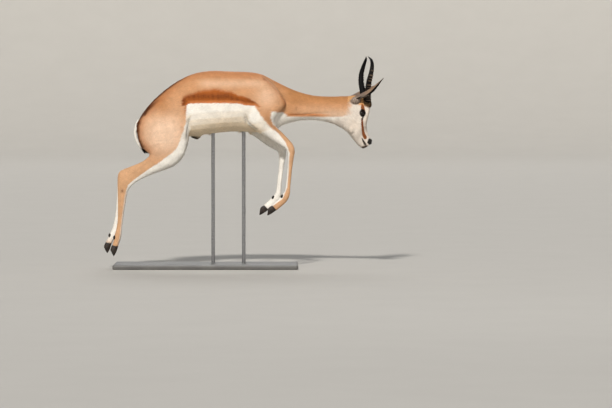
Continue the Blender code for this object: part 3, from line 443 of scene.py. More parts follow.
CREASES = (   # line in the side view, depth, width, how dark the fold's painted shade is, parts
    (((0.279, 0.949), (0.335, 0.904), (0.370, 0.858), (0.3905, 0.823), (0.396, 0.802),
      (0.386, 0.774)), 0.0030, 0.0045, 0.30, ("torso", "neck", "forearm")),
    (((0.199, 0.760), (0.203, 0.738), (0.209, 0.718), (0.237, 0.694), (0.265, 0.673)),
     0.0034, 0.0050, 0.68, ("torso", "forearm")),
    (((-0.064, 0.750), (-0.078, 0.725), (-0.085, 0.676), (-0.089, 0.630)),
     0.0040, 0.0042, 0.55, ("torso", "thigh")),
    (((-0.235, 0.735), (-0.262, 0.690), (-0.270, 0.655), (-0.258, 0.615)),
     0.0014, 0.0090, 0.07, ("thigh", "torso")),
    (((-0.372, 0.452), (-0.335, 0.480), (-0.290, 0.512), (-0.262, 0.545)),
     0.0016, 0.0060, 0.06, ("shank", "thigh")),
    (((-0.415, 0.430), (-0.417, 0.360), (-0.421, 0.260), (-0.428, 0.185)),
     0.0014, 0.0032, 0.14, ("hind",)),
    (((0.398, 0.540), (0.404, 0.480), (0.401, 0.420), (0.396, 0.375)),
     0.0012, 0.0030, 0.12, ("fore_cannon",)),
    (((0.300, 0.715), (0.330, 0.690), (0.372, 0.640), (0.400, 0.602)),
     0.0016, 0.0050, 0.10, ("forearm",)),
    (((0.397, 0.750), (0.460, 0.750), (0.530, 0.756), (0.580, 0.759), (0.625, 0.758)),
     0.0018, 0.0045, 0.06, ("neck",)),
    (((0.451, 0.790), (0.447, 0.782), (0.453, 0.774)), 0.0020, 0.0030, 0.45, ("neck",)),
    (((0.420, 0.822), (0.500, 0.800), (0.580, 0.790)),
     0.0012, 0.0110, 0.04, ("neck",)),
)
GROOVES = (   # grooves between the forms that are filled: line in the side view, reach
    (((0.384, 0.776), (0.370, 0.752), (0.352, 0.729), (0.336, 0.704)), 0.024),
    (((-0.150, 0.830), (-0.205, 0.800), (-0.250, 0.770)), 0.040),
)
SWELLINGS = (   # forms of muscle and bone: place in the side view, reach, height, parts
    ((0.345, 0.800), 0.040, 0.0022, ("torso", "forearm", "neck")),
    ((0.356, 0.735), 0.018, 0.0026, ("torso", "forearm", "neck")),
    ((0.285, 0.860), 0.050, 0.0012, ("torso",)),
    ((-0.165, 0.690), 0.065, 0.0020, ("thigh",)),
    ((-0.235, 0.640), 0.035, 0.0016, ("thigh",)),
    ((-0.170, 0.800), 0.035, 0.0012, ("torso", "thigh")),
    ((-0.115, 0.560), 0.022, 0.0018, ("thigh", "shank")),
    ((-0.416, 0.452), 0.010, 0.0012, ("shank", "hind")),
    ((0.300, 0.690), 0.030, 0.0014, ("forearm",)),
    ((0.420, 0.575), 0.012, 0.0010, ("fore",)),
)
FACE_FOLDS = (   # in the head's own frame: line, depth, width
    (((0.770, 0.044, 0.742), (0.776, 0.040, 0.722), (0.781, 0.034, 0.706)), 0.0016, 0.0026),
    (((0.722, 0.043, 0.757), (0.728, 0.044, 0.741), (0.745, 0.044, 0.733)), 0.0007, 0.0020),
    (((0.735, 0.047, 0.790), (0.752, 0.047, 0.792), (0.768, 0.046, 0.784)), 0.0008, 0.0022),
    (((0.700, 0.047, 0.730), (0.728, 0.047, 0.712), (0.760, 0.040, 0.700)), -0.0016, 0.0070),
    (((0.690, 0.044, 0.700), (0.715, 0.040, 0.672), (0.740, 0.034, 0.650)), -0.0012, 0.0090),
    (((0.762, 0.031, 0.650), (0.778, 0.028, 0.640), (0.797, 0.024, 0.640)), 0.0008, 0.0026),
    (MOUTH_LINE, 0.0012, 0.0016),
)
RIB_HEIGHT = 0.00016
RIB_SPACING = 0.030
FACE_SHADE = 120          # how much painted shade a metre of depth would lay in a fold of the face
GROOVE_ROUNDS = 70


def filled(points, ends):
    """The grooves between the forms made shallower by smoothing round their lines."""
    share = np.zeros(len(points))
    for line, reach in GROOVES:
        d, _, _ = nearest_on(points[:, ::2], line)
        share = np.maximum(share, np.exp(-(d / reach) ** 2))
    for _ in range(GROOVE_ROUNDS):
        points = points + (averaged(points, ends) - points) * (0.5 * share[:, None])
    return points


def fold(points, line, width, rise, least):
    """How much a fold shows: 1 on its line, and less beside it and towards its ends."""
    d, share, _ = nearest_on(points, line)
    fade = np.minimum(1, np.minimum(share, 1 - share) * rise + least)
    return np.exp(-(d / width) ** 2) * fade


def sculpted(points, normals, labels):
    """How far muscles, folds, ribs and the face's finer forms move the skin, and the shade painted
    into their folds.
    """
    x, z = leg_frame(points, labels), points[:, 2]
    outer = ease(0.15, 0.5, np.abs(normals[:, 1]))
    flat = np.stack((x, z), 1)
    push = np.zeros(len(points))
    shade = np.ones(len(points))
    # Each crease also darkens the colour along it: painted shade.
    for line, depth, width, dark, parts in CREASES:
        near = is_part(labels, *parts)
        crease = fold(flat[near], line, width, 6, 0.05) * outer[near]
        push[near] -= depth * crease
        shade[near] *= 1 - dark * crease
    ribs = is_part(labels, "torso") * ease(0.02, 0.06, x) * ease(0.235, 0.19, x)
    ribs = ribs * ease(0.69, 0.73, z) * ease(0.92, 0.86, z) * outer
    push += RIB_HEIGHT * ribs * np.sin((x - 0.25 * (z - 0.8)) * 2 * math.pi / RIB_SPACING)
    for place, reach, height, parts in SWELLINGS:
        near = is_part(labels, *parts)
        d = np.linalg.norm(flat[near] - place, axis=1)
        push[near] += height * np.exp(-(d / reach) ** 2) * outer[near]
    head = is_part(labels, "head")
    face = one_sided(own_frame(points)[head])
    # The face's folds are darkened by their depth: painted shade.
    for line, depth, width in FACE_FOLDS:
        crease = fold(face, line, width, 5, 0.2)
        push[head] -= depth * crease
        shade[head] *= 1 - FACE_SHADE * max(depth, 0) * crease
    return push, shade


# The coat's markings, the same for the skin and the tufts
class Hide:
    """Points of the skin in the frames that the markings use, and the colours laid on so far."""

    def __init__(self, points, normals, labels):
        self.points, self.normals, self.labels = points, normals, labels
        self.x, self.z = leg_frame(points, labels), points[:, 2]
        self.flat = np.stack((self.x, self.z), 1)
        self.out = np.abs(normals[:, 1]) * np.sign(normals[:, 1] * points[:, 1] + 1e-12)
        self.own = own_frame(points)
        self.folded = one_sided(self.own)
        self.face = self.folded[:, ::2]
        self.past_hind = ease(-0.003, 0.003, left_of(self.flat, HIND_EDGE))
        self.past_fore = ease(-0.003, 0.003, -left_of(self.flat, FORE_EDGE)) * (self.z < 0.80)
        self.colour = np.tile(TAN, (len(points), 1))
        self.bare = np.zeros(len(points))

    def on(self, *names):
        return is_part(self.labels, *names)

    def lay(self, colour, share):
        """A colour over what is there, which hides it where the share is 1."""
        self.colour = mix(self.colour, colour, share)

    def strip(self, share):
        """No tufts where the share is 1."""
        self.bare = np.maximum(self.bare, share)


def mark_tans(hide):
    """A dark warm back, a paler band below it that is a painted highlight, a thigh paler partly in
    its coat and partly as a painted highlight, a painted highlight on the shoulder, and paler legs.
    """
    x, z, trunk = hide.x, hide.z, hide.on("torso", "forearm", "thigh")
    back = ease(0.50, 0.95, hide.normals[:, 2]) * hide.on("torso", "neck")
    hide.lay(TAN_BACK, 0.75 * back)
    # A painted highlight along the upper flank, below the back.
    band = np.exp(-((z - 0.905) / 0.020) ** 2) * ease(-0.06, 0.02, x) * ease(0.34, 0.24, x)
    hide.lay(TAN_PALE, 0.50 * band * hide.on("torso"))
    # The thigh's pale middle: partly a paler coat, partly a painted highlight on the haunch.
    thigh = np.minimum(1.15 * blob(x, z, (-0.190, 0.660), (0.115, 0.105)), 0.97)
    hide.lay(TAN_PALE, thigh * trunk)
    # A painted highlight on the shoulder.
    hide.lay(TAN_PALE, 0.60 * trunk * blob(x, z, (0.305, 0.842), (0.060, 0.060)))
    hide.lay(TAN_NECK, 0.75 * trunk * blob(x, z, (-0.205, 0.800), (0.050, 0.042)))
    hide.lay(TAN_LEG, 0.65 * hide.on("fore", "shank", "hind_cannon") * ease(0.74, 0.62, z))


def mark_rump(hide):
    """The brown edges of the white fan, from the croup down to the tail."""
    d, share, _ = nearest_on(hide.flat, RUMP_RIM)
    full, faded = (np.interp(share, RIM_SHARES, widths) for widths in (RIM_FULL, RIM_FADED))
    brown = 1 - ease(full, faded, np.abs(hide.points[:, 1]))
    brown = brown * ease(0.0, 0.30, share) * ease(0.105, 0.065, d)
    rim = ease(0.023, 0.008, d) * ease(0.42, 0.56, share) * ease(1.0, 0.93, share)
    glow = ease(0.050, 0.012, d) * ease(0.1, 0.5, share)
    rear = hide.on("torso", "thigh")
    hide.lay(STRIPE, 0.40 * rear * glow)
    hide.lay(RUMP_BROWN, 0.93 * rear * np.maximum(brown, rim))


def mark_flank(hide):
    """The flank's stripe, soft above, and crisp and lighter along its lower edge."""
    x, z, low = hide.x, hide.z, left_of(hide.flat, STRIPE_LOW)
    wave = 0.0035 * np.sin(x * 58 + 1.1) * np.sin(x * 23 + 0.4)
    wave = wave + 0.0016 * np.sin(x * 231 + 60 * z) * np.sin(x * 83)
    soft = np.interp(x, (0.10, 0.19), (1.0, 0.45))
    stripe = ease(0.010 * soft, -0.013 * soft, left_of(hide.flat, STRIPE_TOP) + wave)
    stripe = stripe * ease(-0.0022, 0.0022, low) * hide.on("torso", "thigh", "forearm")
    stripe = stripe * ease(-0.118, -0.100, x) * ease(0.288, 0.250, x)
    edge = ease(0.019, 0.005, np.abs(low)) * ease(-0.10, -0.05, x)
    streak = 0.5 + 0.5 * np.sin(x * 390 + 55 * z + 3 * np.sin(x * 61))
    core = np.exp(-((z - 0.843 + 0.35 * np.maximum(x - 0.12, 0)) / 0.017) ** 2)
    core = np.maximum(core * (0.55 + 0.40 * streak), ease(-0.075, -0.100, x))
    core = np.maximum(core, 0.75 * ease(0.175, 0.225, x))
    hide.lay(STRIPE, 0.96 * stripe)
    hide.lay(STRIPE_DARK, 0.85 * stripe * core)
    hide.lay(STRIPE_EDGE, 0.75 * stripe * edge)
    end = ease(0.012, 0.003, np.abs(left_of(hide.flat, HIND_EDGE)))
    end = end * ease(0.735, 0.785, z) * (z < 0.82)
    hide.lay(STRIPE, 0.70 * end * hide.on("torso", "thigh"))


def mark_belly(hide):
    """White below the stripe, between the thigh and the foreleg, with painted shade, darker and
    warmer, underneath.
    """
    x, torso = hide.x, hide.on("torso")
    belly = ease(0.0022, -0.0022, left_of(hide.flat, STRIPE_LOW)) * torso * ease(0.40, 0.36, x)
    belly = belly * np.where(x < 0, hide.past_hind, np.where(x > 0.2, hide.past_fore, 1.0))
    under = ease(0.30, 0.05, hide.out) * torso * ease(0.74, 0.71, hide.z) * ease(-0.25, -0.20, x)
    white = np.maximum(belly, under)
    hide.lay(WHITE, white)
    # Painted shade: where the belly faces down it is painted darker and warmer.
    warm = ease(0.0, -0.75, hide.normals[:, 2]) * torso * ease(0.38, 0.32, x)
    hide.lay(BELLY_UNDERSIDE_SHADE, 0.85 * warm * white)


def mark_legs(hide):
    """Hind legs white along the front and inside, with a painted highlight down the front of the hind
    cannons; forelegs white behind and inside.
    """
    z, out, hind = hide.z, hide.out, hide.on("thigh", "shank", "hind")
    inner = np.where(z > 0.52, ease(-0.10, -0.40, out), ease(0.10, -0.25, out))
    front = hide.past_hind * ease(0.33, 0.39, z)
    white = np.maximum(front, inner * ease(0.10, 0.16, z)) * ease(0.830, 0.80, z)
    # A painted highlight: white laid on the front-facing side of the hind cannons.
    shin_highlight = ease(0.2, 0.7, hide.normals[:, 0]) * hide.on("hind_cannon") * ease(0.10, 0.16, z)
    hide.lay(WHITE, np.maximum(white, 0.6 * shin_highlight) * hind)
    spot = blob(hide.x, z, (-0.4067, 0.383), (0.006, 0.007)) * ease(0, 0.3, out)
    hide.lay(RUMP_BROWN, 0.75 * spot * hind)
    white = np.maximum(hide.past_fore, ease(0.10, -0.25, out)) * ease(0.23, 0.27, z)
    hide.lay(WHITE, white * hide.on("fore"))


def mark_neck(hide):
    """Paler downwards to an orange line, with white under the throat and a patch on the chest."""
    x, z, neck = hide.x, hide.z, hide.on("neck", "head")
    hide.lay(TAN_NECK, 0.95 * neck * ease(0.36, 0.44, x) * ease(0.775, 0.830, z))
    hide.lay(TAN_PALE, 0.22 * neck * ease(0.815, 0.765, z) * ease(0.40, 0.50, x))
    hide.lay(WHITE_WARM, 0.35 * neck * ease(0.790, 0.750, z) * ease(0.52, 0.62, x))
    throat = np.interp(x, THROAT_PLACES, THROAT_HEIGHTS)
    line = np.exp(-((z - throat - 0.010) / 0.0055) ** 2)
    hide.lay(STRIPE_EDGE, 0.75 * neck * line * ease(0.392, 0.42, x) * ease(0.64, 0.56, x))
    strip = ease(throat + 0.004, throat - 0.004, z) * ease(0.36, 0.39, x)
    chest = ease(-0.003, 0.003, inside(hide.flat, CHEST_PATCH)) * hide.on("torso", "neck")
    hide.lay(WHITE, np.maximum(chest, strip * hide.on("torso", "neck", "head")))


def mark_tail(hide):
    """The white fan round the tail and along the croup, and the black brush; then the sheath."""
    d, share, _ = nearest_on(hide.flat, RUMP_RIM)
    fan = np.interp(share, RIM_SHARES, RIM_WHITE)
    fan = ease(fan + 0.002, fan - 0.002, np.abs(hide.points[:, 1])) * ease(0.05, 0.02, d)
    hide.lay(WHITE, fan * hide.on("torso", "thigh"))
    off, along, _ = nearest_on(hide.points, TAIL_LINE)
    hide.lay(WHITE, hide.on("tail"))
    black = np.where(off < 0.014, ease(0.84, 0.92, along), along > 0.985)
    hide.lay(BLACK, hide.on("tail") * black)
    d = np.linalg.norm((hide.points - SHEATH_MIDDLE) / (0.024, 0.016, 0.011), axis=1)
    hide.lay(SHEATH, ease(1.15, 0.75, d) * hide.on("torso"))


def mark_head(hide):
    """A white face, a tan crown, a dark brow between the horns, and grey round the ears."""
    (hx, hy, hz), head = hide.folded.T, hide.on("head")
    near_face = np.clip(head + hide.on("neck") * ease(0.58, 0.60, hide.x), 0, 1)
    ragged = 0.005 * np.sin(hz * 150 + 2 * np.sin(hx * 110)) * np.sin(hx * 95 + 1)
    white = near_face * ease(-0.022, 0.015, left_of(hide.face, FACE_EDGE) + 1.5 * ragged)
    crown = ease(0.792, 0.806, hz + 0.25 * (hx - 0.74))
    hide.lay(FACE_WHITE, white * (1 - crown))
    hide.lay(CROWN_TAN, 0.85 * head * crown)
    hide.lay(WHITE_WARM, 0.35 * near_face * blob(hx, hz, (0.715, 0.70), (0.03, 0.03)))
    brow = ease(0.761, 0.769, hx) * ease(0.774, 0.786, hz - 0.35 * (0.80 - hx))
    brow = brow * ease(0.050, 0.042, hy) * head
    streak = 0.5 + 0.5 * np.sin(hy * 900 + 3 * np.sin(hz * 260))
    hide.lay(FOREHEAD, 0.95 * brow)
    hide.lay(BLACK, brow * (0.60 * ease(0.018, 0.009, hy) + 0.20 * streak))
    hide.lay(EAR_BROWN, 0.6 * brow * blob(hx, hz, (0.776, 0.812), (0.006, 0.010)))
    d = np.linalg.norm((hide.folded - EAR_GROUND) / (1.35, 1.0, 1.0), axis=1)
    ground = ease(0.028, 0.019, d) * ease(0.024, 0.032, hy) * head
    hide.lay(EAR_GREY * 0.92, 0.90 * ground)
    streak = 0.5 + 0.5 * np.sin(hx * 700 + 300 * hz)
    hide.lay(WHITE, 0.22 * ground * streak)


def mark_eyes(hide):
    """The spot over the eye, the stripe from the eye to the mouth, dark lids and tear corner."""
    (hx, hy, hz), head = hide.folded.T, hide.on("head")
    width = np.interp(hz, SPOT_HEIGHTS, SPOT_WIDTHS)
    middle = np.interp(hz, (0.766, 0.803), (0.7592, 0.7562))
    spot = ease(width + 0.0014, width - 0.0014, np.abs(hx - middle))
    hide.lay(FACE_BROWN, 0.97 * head * spot * (hz > 0.755) * (hy > 0.030))
    d, share, _ = nearest_on(hide.face, FACE_STRIPE)
    width = np.interp(share, (0, 0.45, 1), (0.0038, 0.0062, 0.0092))
    stripe = ease(width + 0.0014, width - 0.0014, d) * (hy > 0.014) * head
    hide.lay(FACE_BROWN, 0.97 * stripe)
    hide.lay(STRIPE_DARK, 0.85 * stripe * ease(0.60, 0.15, share))
    rim = eye_distance(hide.folded)
    hide.lay(BLACK, 0.97 * head * ease(1.44, 1.22, rim))
    hide.strip(head * ease(1.26, 1.12, rim))
    d, _, _ = nearest_on(hide.face, TEAR_LINE)
    hide.lay(BLACK, 0.96 * head * ease(0.0050, 0.0030, d) * (hy > 0.025))


def mark_mouth(hide):
    """A bare black nose, black lips with brown beside them, and a brown chin."""
    (hx, _, hz), head = hide.folded.T, hide.on("head")
    d, _, _ = nearest_on(hide.folded, NOSTRIL_LINE)
    off = hide.face - NOSE_MIDDLE
    pad = np.linalg.norm(off, axis=1) + 0.0012 * np.sin(np.arctan2(off[:, 1], off[:, 0]) * 5 + 0.6)
    nose = np.maximum(ease(0.0085, 0.0060, d), ease(0.0182, 0.0148, pad))
    hide.lay(BLACK, 0.98 * head * nose)
    hide.strip(head * ease(0.3, 0.8, nose))
    d, share, _ = nearest_on(hide.folded, MOUTH_LINE)
    beside = ease(0.0040 + 0.009 * share, 0.002 + 0.004 * share, d)
    hide.lay(MOUTH_BROWN, 0.80 * head * beside)
    lips = ease(0.0048, 0.0026, d)
    hide.lay(BLACK, 0.93 * head * lips)
    hide.strip(head * ease(0.2, 0.7, lips))
    chin = ((hx - 0.782) / 0.020) ** 2 + ((hz - 0.590) / 0.009) ** 2
    hide.lay(MOUTH_BROWN * 0.8, 0.85 * head * ease(1.2, 0.5, chin))


def mark_ears(hide):
    """Ears grey-brown outside, with painted shade deep in the cup and pale rims inside."""
    own_normals = turned_way(hide.normals, -HEAD_TURN)
    for name, side in SIDES:
        ear = hide.on("ear_" + name)
        aim, opening = unit(EAR_AIMS[name][0]), np.array(EAR_AIMS[name][1])
        opening = unit(opening - aim * (opening @ aim))
        place = hide.own[ear] - EAR_ROOT * (1, side, 1)
        along = place @ aim / EAR_LENGTH
        facing = own_normals[ear] @ opening
        outer = mix(EAR_GREY, EAR_BROWN, 0.6 * ease(0.15, 0.5, along))
        outer = mix(outer, EAR_TIP, ease(0.70, 1.0, along))
        across = np.abs(place @ np.cross(aim, opening))
        leaf = 0.033 * np.sqrt(np.clip(4 * along * (1 - along), 0.02, 1))
        band = ease(0.42, 0.66, across / leaf) * ease(0.10, 0.3, along)
        # Painted shade: the cup is darker the more it faces into the opening.
        cup = mix(EAR_RIM, EAR_CUP_SHADE, ease(0.02, 0.26, facing))
        cup = mix(cup, EAR_GREY * 0.62, 0.85 * band)
        hide.colour[ear] = mix(outer, cup, ease(-0.12, 0.04, facing))
        hide.bare[ear] = np.maximum(hide.bare[ear], 0.55 * ease(0.1, 0.5, facing))


MARKS = (mark_tans, mark_rump, mark_flank, mark_belly, mark_legs, mark_neck, mark_tail,
         mark_head, mark_eyes, mark_mouth, mark_ears)


def markings(points, normals, labels):
    """The coat's colour at points of the skin, and how bare they are."""
    hide = Hide(points, normals, labels)
    for mark in MARKS:
        mark(hide)
    grain = np.sin(points @ (210, 40, 95) + 3 * np.sin(points @ (35, 60, 20)))
    grain = grain * np.sin(points @ (60, -90, 170))
    colour = hide.colour * (1 + 0.035 * grain)[:, None]
    return np.clip(colour, 0.002, 1), np.clip(hide.bare, 0, 1)


def eye_distance(folded):
    """How far points of the head lie from the eye, in lid openings, so 1 is the lids' rim."""
    p = folded - EYE_MIDDLE
    gaze = unit(EYE_GAZE)
    down = unit(LID_DOWN - gaze * (LID_DOWN @ gaze))
    a = p @ down / (LID_LENGTH / 2)
    b = p @ np.cross(gaze, down) / (LID_HEIGHT / 2)
    c = np.maximum(0, np.abs(p @ gaze - EYE_RADIUS * 0.8) - 0.012) / 0.01
    return np.sqrt(a * a + b * b + c * c)


# The lie and the length of the coat
def on_tail(share):
    """Places on the tail's line, by how far along its points they are, 0 to 1."""
    line = np.array(TAIL_LINE, float)
    marks = np.linspace(0, 1, len(line))
    return np.stack([np.interp(share, marks, line[:, k]) for k in range(3)], 1)


LIES = {   # the way the coat lies, for the parts where one way does
    "neck": (-1.0, 0, -0.12), "fore_cannon": (-0.12, 0, -1.0), "thigh": (-0.45, 0, -1.0),
    "shank": (-0.85, 0, -0.60), "hind_cannon": (-0.12, 0, -1.0),
}


def lies(points, labels):
    """The way the coat lies at points of the skin, by part, before it is smoothed."""
    way = np.tile((-1.0, 0.0, -0.30), (len(points), 1))
    x, z = points[:, 0], points[:, 2]
    torso = is_part(labels, "torso")
    lean = ease(-0.05, -0.30, x)
    way[torso] = np.stack((-1.0 + 0.55 * lean, 0 * x, -0.28 - 0.75 * lean), 1)[torso]
    arm = is_part(labels, "forearm")
    down = ease(0.80, 0.70, z)
    way[arm] = np.stack((-0.75 + 1.35 * down, 0 * x, -0.55 - 0.35 * down), 1)[arm]
    for part, lie in LIES.items():
        way[is_part(labels, part)] = lie
    way[is_part(labels, "fore_cannon") & (z < FORE_FETLOCK)] = (-0.6, 0, -0.8)
    tail = is_part(labels, "tail")
    _, along, _ = nearest_on(points[tail], TAIL_LINE)
    ahead = on_tail(np.clip(along + 0.12, 0, 1))
    way[tail] = unit(ahead - on_tail(np.clip(along - 0.05, 0, 0.9)))
    own = own_frame(points)
    head = is_part(labels, "head")
    from_nose = unit(own - (0.835, 0.0, 0.585))
    from_nose[:, 0] -= 0.25
    way[head] = turned_way(from_nose[head])
    for side, _ in SIDES:
        way[is_part(labels, "ear_" + side)] = turned_way(unit(EAR_AIMS[side][0]))
    return unit(way)


def tangent(way, normals):
    """A way laid flat on the skin."""
    return unit(way - normals * np.sum(way * normals, 1, keepdims=True))


COAT = {   # the tufts' length, width and height, and how dense they are beside the torso's
    "torso": (0.0150, 0.0024, 0.0007, 1.0),
    "neck": (0.0135, 0.0022, 0.0007, 1.15),
    "head": (0.0058, 0.0011, 0.00036, 3.8),
    "ear": (0.0056, 0.0010, 0.0003, 2.5),
    "tail": (0.0105, 0.0018, 0.0007, 3.5),
    "forearm": (0.0120, 0.0021, 0.0006, 1.25),
    "fore_cannon": (0.0078, 0.0013, 0.0004, 2.5),
    "thigh": (0.0145, 0.0023, 0.0007, 1.05),
    "shank": (0.0110, 0.0019, 0.0006, 1.5),
    "hind_cannon": (0.0078, 0.0013, 0.0004, 2.5),
}


def coat_values(labels, points, normals):
    """The tufts' length, width, height and density at points of the skin."""
    table = [next(row for part, row in COAT.items() if node.startswith(part)) for node in FLESH]
    values = np.array(table)[labels]
    x, z, up = points[:, 0], points[:, 2], normals[:, 2]
    torso, head = is_part(labels, "torso"), is_part(labels, "head")
    values[:, 0] *= 1 + 0.45 * ease(-0.3, -0.8, up) * torso
    crest = ease(0.55, 0.9, up) * ease(-0.02, -0.20, x) * ease(0.05, 0.02, np.abs(points[:, 1]))
    values[:, 0] *= 1 + 0.9 * crest * torso
    values[:, 0] *= 1 + torso * ease(-0.4, -0.8, normals[:, 0]) * (x < -0.25)
    _, along, _ = nearest_on(points, TAIL_LINE)
    brush = np.interp(along, (0.0, 0.80, 0.90, 1.0), (1.0, 1.0, 2.4, 2.6))
    values[:, 0] *= np.where(is_part(labels, "tail"), brush, 1)
    sheath = np.linalg.norm((points - SHEATH_MIDDLE) / (0.026, 0.016, 0.012), axis=1)
    values[:, 3] *= 1 + 2.5 * torso * ease(1.3, 0.8, sheath)
    own = own_frame(points)
    muzzle = head * ease(0.70, 0.62, own[:, 2])
    values[:, 0] *= 1 - 0.35 * muzzle
    values[:, 3] *= 1 + 0.5 * muzzle
    neckward = head * ease(0.74, 0.68, own[:, 0])
    values[:, 0] *= 1 + 0.8 * neckward
    values[:, 1] *= 1 + 0.6 * neckward
    feet = is_part(labels, "fore_cannon", "hind_cannon") & (z < np.where(x > 0, 0.33, 0.13))
    values[:, 0] *= np.where(feet, 0.8, 1)
    return values


# Materials
class Look:
    """A material in the making: its nodes are added and linked through here."""

    def __init__(self, name):
        self.made = bpy.data.materials.new(name)
        self.made.use_nodes = True
        self.nodes, self.links = self.made.node_tree.nodes, self.made.node_tree.links

    def feed(self, node, inputs):
        """Sets inputs of a node to values, or links them to other nodes' outputs."""
        for name, value in inputs.items():
            if isinstance(value, bpy.types.NodeSocket):
                self.links.new(value, node.inputs[name])
            else:
                node.inputs[name].default_value = value

    def add(self, kind, inputs, output, **settings):
        """The named output of a new node."""
        node = self.nodes.new(kind)
        for name, value in settings.items():
            setattr(node, name, value)
        self.feed(node, inputs)
        return node.outputs[output]

    def painted(self, name="Coat", output="Color"):
        return self.add("ShaderNodeAttribute", {}, output, attribute_name=name)

    def noise(self, scale, stretch=(1, 1, 1), detail=4.0):
        place = self.add("ShaderNodeTexCoord", {}, "Object")
        place = self.add("ShaderNodeMapping", {"Scale": stretch, "Vector": place}, "Vector")
        return self.add("ShaderNodeTexNoise", {
            "Scale": scale, "Detail": detail, "Roughness": 0.55, "Vector": place}, "Fac")

    def ranged(self, value, low, high, start=0.3, stop=0.7):
        """A value spread from low at start to high at stop."""
        return self.add("ShaderNodeMapRange", {
            "From Min": start, "From Max": stop, "To Min": low, "To Max": high,
            "Value": value}, "Result")

    def varied(self, colour, value, low, high, start=0.3, stop=0.7):
        """A colour that a value makes darker and lighter."""
        factor = self.ranged(value, low, high, start, stop)
        return self.add("ShaderNodeVectorMath", {"Vector": colour, "Scale": factor}, "Vector",
                        operation="SCALE")

    def ramp(self, value, colours, start, stop):
        node = self.nodes.new("ShaderNodeValToRGB")
        for element, place, colour in zip(node.color_ramp.elements, (start, stop), colours):
            element.position = place
            element.color = (*colour, 1)
        self.feed(node, {"Fac": value})
        return node.outputs["Color"]

    def bump(self, height, strength, distance):
        return self.add("ShaderNodeBump", {
            "Strength": strength, "Distance": distance, "Height": height}, "Normal")

    def done(self, inputs):
        """The material, with these inputs of its shader."""
        self.feed(self.nodes["Principled BSDF"], inputs)
        return self.made


def skin_material():
    look = Look("coat_skin")
    return look.done({
        "Base Color": coat_colour(look, look.noise(420.0, (0.35, 1.0, 1.0))),
        "Roughness": look.ranged(look.painted("bare", "Fac"), 0.75, 0.42, 0.0, 1.0),
        "Normal": look.bump(look.noise(900.0, (0.30, 1.0, 0.7), 3.0), 0.55, 0.0008),
        "Specular IOR Level": 0.15})


def coat_material():
    look = Look("coat")
    fine = look.noise(420.0, (0.35, 1.0, 1.0))
    return look.done({
        "Base Color": coat_colour(look, fine),
        "Roughness": look.ranged(fine, 0.52, 0.72),
        "Sheen Weight": 0.06,
        "Sheen Roughness": 0.45,
        "Normal": look.bump(look.noise(1500.0, (0.25, 1.0, 0.6), 2.0), 0.25, 0.0003),
        "Specular IOR Level": 0.15})


def coat_colour(look, fine):
    colour = look.varied(look.painted(), look.noise(34.0, (0.6, 1.0, 1.0)), 0.92, 1.07)
    return look.varied(colour, fine, 0.90, 1.08)


def horn_material():
    look = Look("horn")
    streak = look.noise(260.0, (1.0, 1.0, 0.10), 6.0)
    blotch = look.noise(45.0, (1.0, 1.0, 0.8))
    return look.done({
        "Base Color": look.varied(look.varied(look.painted(), streak, 0.55, 1.5), blotch, 0.8, 1.2),
        "Roughness": look.ranged(streak, 0.50, 0.74),
        "Specular IOR Level": 0.12,
        "Normal": look.bump(streak, 0.55, 0.0010)})


def hoof_material():
    look = Look("hoof")
    band = look.add("ShaderNodeTexWave", {
        "Scale": 95.0, "Distortion": 3.0, "Detail": 3.0, "Detail Scale": 2.0,
        "Vector": look.add("ShaderNodeTexCoord", {}, "Object")}, "Fac", bands_direction="Z")
    scuff = look.noise(160.0, (1, 1, 0.5), 6.0)
    colour = look.ramp(scuff, HOOF_COLOURS, 0.35, 0.80)
    return look.done({
        "Base Color": look.varied(colour, band, 0.82, 1.15, 0, 1),
        "Roughness": look.ranged(scuff, 0.38, 0.62),
        "Specular IOR Level": 0.30,
        "Normal": look.bump(band, 0.25, 0.0006)})


def eye_material():
    look = Look("eye")
    return look.done({
        "Base Color": look.varied(look.painted(), look.noise(900.0), 0.75, 1.25),
        "Roughness": 0.06,
        "Coat Weight": 0.6,
        "Coat Roughness": 0.02,
        "Specular IOR Level": 0.10})


def board_material():
    look = Look("stand_board")
    grain = look.noise(700.0, detail=3.0)
    colour = look.ramp(look.noise(9.0, detail=3.0), BOARD_COLOURS, 0.35, 0.68)
    return look.done({
        "Base Color": look.varied(colour, grain, 0.95, 1.05),
        "Roughness": look.ranged(grain, 0.42, 0.60),
        "Normal": look.bump(grain, 0.18, 0.0004)})


def rod_material():
    look = Look("stand_rod")
    brush = look.noise(900.0, (0.05, 0.05, 1.0), 3.0)
    return look.done({
        "Base Color": look.ramp(brush, ROD_COLOURS, 0.3, 0.7),
        "Roughness": look.ranged(brush, 0.24, 0.40),
        "Metallic": 1.0,
        "Normal": look.bump(brush, 0.06, 0.0001)})


def floor_material():
    look = Look("floor")
    return look.done({
        "Base Color": look.ramp(look.noise(3.0), FLOOR_COLOURS, 0, 1),
        "Roughness": 0.9})


# The coat
LEAF_FACES = np.array([(0, 3, 1), (0, 2, 3), (0, 1, 2), (4, 1, 3), (4, 3, 2), (4, 2, 1)])
UNDERSIDES = (2, 5)
LEAF_FAN = 0.38           # how far the shading turns towards a tuft's two sides
LEAF_MAP = np.array(((0.5, 0), (0, 0.4), (1, 0.4), (0.5, 0.5), (0.5, 1.0))) - 0.5
LEAF_MAP_SIZE = 0.003     # of the whole map
LEAF_ROOT_DEPTH = 0.0006


